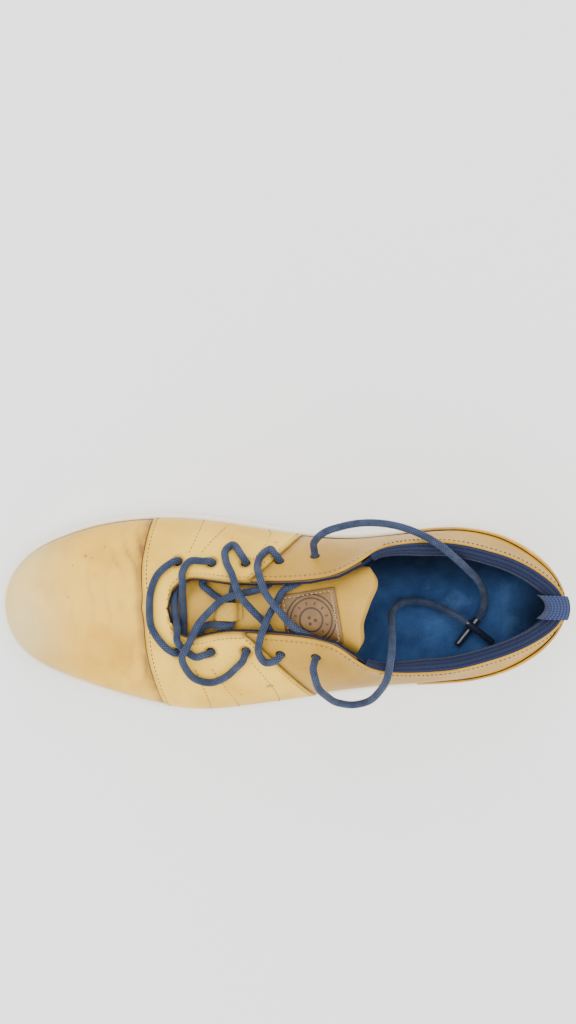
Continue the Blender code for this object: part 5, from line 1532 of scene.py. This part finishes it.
@dataclass
class Tongue:
    """The tongue's layers, its label and the lace keeper."""

    finishes: Finishes
    bend: float = 5.0
    across: int = 60
    hem: float = 3.2
    short_tip: float = -37.8
    label_rise: float = 1.4

    def build(self) -> None:
        """Make the tongue's visible pieces."""
        self._layer(Layer.LEATHER, self.finishes.tongue)
        self._layer(Layer.FOAM, self.finishes.foam)
        self._layer(Layer.LINING, self.finishes.tongue_lining)
        self._label()
        self._keeper()

    def _layer(self, layer: Layer, finish: bpy.types.Material) -> None:
        """One layer, from its sewn root to its free tip; only the leather has waves and a hem."""
        name, (out, into) = layer.name.lower(), layer.value
        xs = np.concatenate([np.linspace(TONGUE_ROOT_X, TONGUE_FOLD_X, 90),
                             np.linspace(TONGUE_FOLD_X - 0.6, TONGUE_TIP_X, 96)])
        if layer is not Layer.LEATHER:
            xs = np.where(xs < 0, xs * self.short_tip / TONGUE_TIP_X, xs)
        x, y = TONGUE.stations(xs, self.across)
        if layer is Layer.LEATHER:
            wave = 0.18 * np.sin(x * 0.21 + y * 0.07) * ease((30 - x) / 30.0)
            wave = wave + 0.25 * ease((-30.0 - x) / 12.0) * np.sin(y * 0.45 + 0.6)
            out = out - wave * 0.6
            into = into + self.hem * (np.arange(len(x)) > len(x) - 5)[:, None]
        # Dirt and painted shade along the side edges, which lie under the facings.
        number = np.arange(self.across)
        edge = np.minimum(number, self.across - 1 - number)
        soil = np.broadcast_to(0.5 * np.exp(-edge / 3.0), x.shape)
        data = slab(TONGUE.point(x, y, out), TONGUE.point(x, y, into), np.stack([x, y], -1), soil)
        made = data.object(f"tongue_{name}_look", finish, bevel=0.3)
        height = float(TONGUE.top(TONGUE_FOLD_X, TONGUE_CENTRE_Y))
        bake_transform(made)
        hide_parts(f"tongue_{name}_root", f"tongue_{name}_flap")

    def _label(self) -> None:
        """The square label, a little raised, with its own surface coordinates for the emblem."""
        steps = np.linspace(-LABEL_HALF, LABEL_HALF, 60)
        a, b = np.meshgrid(steps, steps, indexing="ij")
        x, y = label_plan(a, b)
        edge = np.minimum(LABEL_HALF - np.abs(a), LABEL_HALF - np.abs(b))
        sewn = 0.25 * np.exp(-((edge - LABEL_HEM) / 0.5)**2)
        round_off = 0.35 * np.exp(-edge / 0.35)
        data = slab(TONGUE.point(x, y, sewn + round_off - self.label_rise), TONGUE.point(x, y, -0.25),
                    np.stack([a, b], -1))
        place(data.object("tongue_label_look", self.finishes.label), "label", "tongue_label", body=FLAP)

    def _keeper(self) -> None:
        """The tape loop that the lace passes through."""
        section = np.asarray(KEEPER_SECTION, float)
        fine = []
        for point, following in zip(section, np.roll(section, -1, axis=0)):
            steps = max(1, int(np.linalg.norm(following - point) / 0.5))
            fine += [point + (following - point) * k / steps for k in range(steps)]
        fine = blurred(np.array(fine), 2)
        medial, lateral = KEEPER_EDGES_Y
        rings = []
        for y in np.linspace(medial, lateral, 26):
            rib = 0.12 * math.sin((y - medial) * math.tau / 0.99)
            rise = fine[:, 1] + rib * (fine[:, 1] > 5.2)
            rings.append(TONGUE.point(KEEPER_X + fine[:, 0], np.full(len(fine), y), -rise))
        keeper = ring_solid(np.array(rings)).object("lace_keeper_look", self.finishes.keeper)
        place(keeper, "keeper", "lace_keeper")


@dataclass
class Laces:
    """The laced stretch and the two free ends with their aglets."""

    finishes: Finishes
    sides: int = 20

    def build(self) -> None:
        """Make the cords."""
        route = LaceRoute()
        braid = self.finishes.lace
        laced = tube(route.laced(), LACE_RADIUS, self.sides).object("lace_laced_look", braid)
        place(laced, "lace", "lace_laced")
        for sign, name, points, aglet in ((-1, "medial", MEDIAL_END, MEDIAL_AGLET),
                                          (1, "lateral", LATERAL_END, LATERAL_AGLET)):
            tip = self._aglet(name, aglet)
            centre = route.free(sign, points, aglet)
            end = tube(centre, LACE_RADIUS, self.sides).object(f"lace_end_{name}_look", braid)
            place(end, "lace", f"lace_end_{name}")
            real = with_toe_spring(centre) * MM

    def _aglet(self, name: str, ends: Sequence) -> bpy.types.Object:
        """The film-wrapped tip of a lace."""
        start, end = (np.asarray(p, float) for p in ends)
        share = np.linspace(0, 1, 30)
        radius = 2.08 - 0.22 * share
        radius[0], radius[-2], radius[-1] = LACE_RADIUS, 1.75, 1.35
        data = tube(start + (end - start) * share[:, None], radius, 24)
        made = data.object(f"aglet_{name}_look", self.finishes.aglet)
        return place(made, "aglet", f"aglet_{name}")


@dataclass
class Stitching:
    """Rows of thread, each stitch a small instance laid out by Geometry Nodes."""

    finishes: Finishes
    rows: dict[str, list[tuple[Array, Array, Array]]] = field(default_factory=dict)
    length: float = 0.0015
    label_length: float = 0.0014
    radius: float = 0.00026
    seed: int = 7

    def row(self, group: str, points: Array, normals: Array, pitch: float, slant: float = 0.0) -> None:
        """Add a row of stitches.

        Args:
            group: which object the row belongs to.
            points: the row's line, in millimetres.
            normals: the surface's normals along it.
            pitch: from one stitch to the next.
            slant: how far the stitches turn off the line, one to each side in turn, in radians.
        """
        keys = lengths(points)
        count = max(2, int(keys[-1] / pitch))
        at = (np.arange(count) + 0.5) * keys[-1] / count
        here = at_lengths(at, keys, points)
        up = unit(at_lengths(at, keys, normals))
        ahead = unit(at_lengths(at + 0.3, keys, points) - at_lengths(at - 0.3, keys, points))
        side = unit(np.cross(up, ahead))
        angle = np.where(np.arange(count) % 2, slant, -slant)
        ahead = ahead * np.cos(angle)[:, None] + side * np.sin(angle)[:, None]
        self.rows.setdefault(group, []).append((here, up, ahead))

    def surface_row(self, columns: Array, climbs: Array, rise: float, pitch: float,
                    group: str = "shoe") -> None:
        """Add a row along pairs of column and climb on the upper."""
        points, normals = FORM.places(columns, climbs, rise)
        self.row(group, points, normals, pitch)

    def build(self) -> None:
        """Lay out all the rows of the shoe."""
        climbs = np.linspace(0.05, 1.0, 90)
        for sign in (1, -1):
            line = SEAM + 0.32 + seam_shift(np.full(90, float(SEAM)), climbs)
            self.surface_row(sign * line, climbs, PROUD_STITCH, 2.3, "seam")
            self.surface_row(np.full(90, sign * (QUARTER - 0.22)), np.linspace(0.05, 0.985, 90),
                             PROUD_STITCH, 2.4)
            throat = np.linspace(THROAT + 0.1, QUARTER - 0.3, 120)
            self.surface_row(sign * throat, np.full(120, 0.958), PROUD_STITCH, 2.3)
            rear = np.linspace(QUARTER + 0.2, FACING_END + 0.8, 60)
            self.surface_row(sign * rear, np.full(60, 0.955), 0.08, 2.5)
            for low_column, high_column in SIDE_ROWS[sign]:
                t = np.linspace(0, 1, 90)
                columns = low_column + (high_column - low_column) * t + 0.12 * np.sin(t * math.pi)
                self.surface_row(sign * columns, 0.06 + 0.66 * t, PROUD_STITCH, 2.4)
        collar = np.linspace(FACING_END + 1.4, 2 * HEEL - FACING_END - 1.4, 260)
        line, normals = FORM.places(collar, np.full(260, 0.955), 0.05)
        self.row("collar", line, normals, 2.4)
        self._label_rows()
        for group, finish, body, slot in (("seam", self.finishes.seam_thread, SHOE, "light_leather"),
                                          ("shoe", self.finishes.thread, SHOE, "light_leather"),
                                          ("collar", self.finishes.dark_thread, SHOE, "knit"),
                                          ("label", self.finishes.pale_thread, FLAP, "label")):
            self._instances(group, finish, body, slot)

    def _label_rows(self) -> None:
        """Stitches along the label's edges, and a zig-zag along the one towards the tip."""
        reach = LABEL_HALF - LABEL_HEM
        corners = [(-reach, -reach), (reach, -reach), (reach, reach), (-reach, reach)]
        for i, (start, end) in enumerate(zip(corners, corners[1:] + corners[:1])):
            x, y = label_plan(*np.linspace(start, end, 40).T)
            points = TONGUE.point(x, y, -1.28)
            normals = unit(points - TONGUE.point(x, y, 0.0))
            pitch, slant = (1.25, 0.85) if i == 3 else (2.2, 0.0)
            self.row("label", points, normals, pitch, slant)

    def _instances(self, group: str, finish: bpy.types.Material, body: str, slot: str) -> None:
        """Turn one group's rows into a mesh of stitches."""
        here, up, ahead = (np.concatenate(parts) for parts in zip(*self.rows[group]))
        mesh = bpy.data.meshes.new(f"stitch_places_{group}")
        mesh.from_pydata((with_toe_spring(here) * MM).tolist(), [], [])
        for name, vectors in (("up", up), ("ahead", ahead)):
            layer = mesh.attributes.new(name, "FLOAT_VECTOR", "POINT")
            layer.data.foreach_set("vector", vectors.astype(np.float32).ravel())
        made = bpy.data.objects.new(f"stitches_{group}", mesh)
        bpy.context.collection.objects.link(made)
        modifier = made.modifiers.new("stitches", "NODES")
        tree = self._tree(finish)
        modifier.node_group = tree
        values = {"Length": self.label_length if group == "label" else self.length,
                  "Radius": self.radius, "Seed": self.seed}
        for item in tree.interface.items_tree:
            if item.item_type == "SOCKET" and item.in_out == "INPUT" and item.name in values:
                modifier[item.identifier] = values[item.name]
        settle(made)
        made.data.materials.clear()
        made.data.materials.append(finish)
        made.data.shade_smooth()
        place(made, slot, body=body)

    def _tree(self, finish: bpy.types.Material) -> bpy.types.NodeTree:
        """Points with an up and an ahead vector become rounded stitches."""
        tree = bpy.data.node_groups.new("stitch_rows", "GeometryNodeTree")
        for name, kind in (("Geometry", "NodeSocketGeometry"), ("Length", "NodeSocketFloat"),
                           ("Radius", "NodeSocketFloat"), ("Seed", "NodeSocketInt")):
            tree.interface.new_socket(name, in_out="INPUT", socket_type=kind)
        tree.interface.new_socket("Geometry", in_out="OUTPUT", socket_type="NodeSocketGeometry")

        def node(kind: str, settings: dict | None = None, inputs: dict | None = None) -> bpy.types.Node:
            """Add a node with its settings and its values or links."""
            added = tree.nodes.new(kind)
            for key, value in (settings or {}).items():
                setattr(added, key, value)
            for key, value in (inputs or {}).items():
                if isinstance(value, bpy.types.NodeSocket):
                    tree.links.new(value, added.inputs[key])
                else:
                    added.inputs[key].default_value = value
            return added

        given = node("NodeGroupInput")
        ball = node("GeometryNodeMeshIcoSphere", {}, {"Radius": 1.0, "Subdivisions": 2})
        half = node("ShaderNodeMath", {"operation": "MULTIPLY"}, {0: given.outputs["Length"], 1: 0.5})
        size = node("ShaderNodeCombineXYZ", {}, {"X": half.outputs[0], "Y": given.outputs["Radius"],
                                                 "Z": given.outputs["Radius"]})
        vector = {"data_type": "FLOAT_VECTOR"}
        up, ahead = (node("GeometryNodeInputNamedAttribute", vector, {"Name": name})
                     for name in ("up", "ahead"))
        axes = node("FunctionNodeAxesToRotation", {"primary_axis": "Z", "secondary_axis": "X"},
                    {"Primary Axis": up.outputs["Attribute"],
                     "Secondary Axis": ahead.outputs["Attribute"]})
        vary = node("FunctionNodeRandomValue", {"data_type": "FLOAT"},
                    {"Min": 0.88, "Max": 1.08, "Seed": given.outputs["Seed"]})
        varied = node("ShaderNodeVectorMath", {"operation": "SCALE"},
                      {0: size.outputs[0], "Scale": vary.outputs[1]})
        laid = node("GeometryNodeInstanceOnPoints", {}, {
            "Points": given.outputs["Geometry"], "Instance": ball.outputs["Mesh"],
            "Rotation": axes.outputs[0], "Scale": varied.outputs[0]})
        real = node("GeometryNodeRealizeInstances", {}, {0: laid.outputs[0]})
        coloured = node("GeometryNodeSetMaterial", {},
                        {"Geometry": real.outputs[0], "Material": finish})
        node("NodeGroupOutput", {}, {0: coloured.outputs[0]})
        return tree


@dataclass
class Hidden:
    """Pieces that keep their own mesh and only take a finish."""

    finishes: Finishes

    def dress(self) -> None:
        """Give each of them its material."""
        chosen = (
            (self.finishes.foam, ("midsole",)), (self.finishes.steel, ("shank",)),
            (self.finishes.board, ("lasting_board", "toe_puff", "heel_counter")),
            (self.finishes.stay, ("eyestay_lateral", "eyestay_medial")),
            (self.finishes.slide, ("slide_pad",)), (self.finishes.heel_rubber, ("heel_pad",)),
            (self.finishes.lining, ("vamp_lining", "quarter_lining_lateral", "quarter_lining_medial")),
        )
        for finish, names in chosen:
            for mesh in (bpy.data.objects[name].data for name in names):
                mesh.materials.clear()
                mesh.materials.append(finish)
                mesh.polygons.foreach_set("material_index", np.zeros(len(mesh.polygons), np.int32))


@dataclass
class Studio:
    """Camera straight above the shoe, soft lights and a pale floor."""

    finishes: Finishes
    camera_place: tuple[float, float, float] = (-0.004, -0.054, 0.73)
    lens: float = 46.3
    lights: tuple[tuple[str, tuple[float, float, float], float, float], ...] = (
        ("top", (0.1, -0.1, 1.3), 1.5, 14.0), ("toe", (1.0, 0.35, 0.8), 0.9, 7.0),
        ("medial", (-0.1, -1.1, 0.8), 1.0, 7.0), ("lateral", (-0.2, 1.1, 0.7), 1.0, 5.0),
        ("heel", (-1.1, 0.0, 0.7), 0.9, 4.0))
    energy: float = 1.45
    sky: float = 0.8

    def build(self) -> None:
        """Set the studio up."""
        data = bpy.data.cameras.new("camera")
        data.lens = self.lens
        data.sensor_width = 36.0
        data.sensor_fit = "AUTO"
        camera = bpy.data.objects.new("camera", data)
        camera.location = self.camera_place
        camera.rotation_euler = (0.0, 0.0, math.pi)
        bpy.context.collection.objects.link(camera)
        bpy.context.scene.camera = camera
        for name, where, size, power in self.lights:
            self._light(name, where, size, power * self.energy)
        world = bpy.context.scene.world or bpy.data.worlds.new("world")
        bpy.context.scene.world = world
        world.use_nodes = True
        shade = world.node_tree.nodes["Background"]
        shade.inputs[0].default_value = (1.0, 1.0, 1.0, 1.0)
        shade.inputs[1].default_value = self.sky
        mesh = bpy.data.meshes.new("floor")
        mesh.from_pydata([(-3, -3, 0), (3, -3, 0), (3, 3, 0), (-3, 3, 0)], [], [(0, 1, 2, 3)])
        mesh.materials.append(self.finishes.floor)
        floor = bpy.data.objects.new("floor", mesh)
        bpy.context.collection.objects.link(floor)

    def _light(self, name: str, where: Sequence[float], size: float, power: float) -> None:
        """One soft square light that faces the shoe."""
        data = bpy.data.lights.new(name, "AREA")
        data.shape = "SQUARE"
        data.size = size
        data.energy = power
        light = bpy.data.objects.new(name, data)
        light.location = where
        towards = Vector((0, 0, 0.03)) - Vector(where)
        light.rotation_euler = towards.to_track_quat("-Z", "Y").to_euler()
        bpy.context.collection.objects.link(light)


def main() -> None:
    """Build and dress the whole shoe."""
    logging.basicConfig(level=logging.INFO, format="%(message)s")
    finishes = Finishes()
    Studio(finishes).build()
    for part in (Laces(finishes), Sole(finishes), Upper(finishes), Collar(finishes), Tongue(finishes),
                 Stitching(finishes)):
        part.build()
        LOG.info("built %s", type(part).__name__)
    Hidden(finishes).dress()


if __name__ == "__main__":
    main()
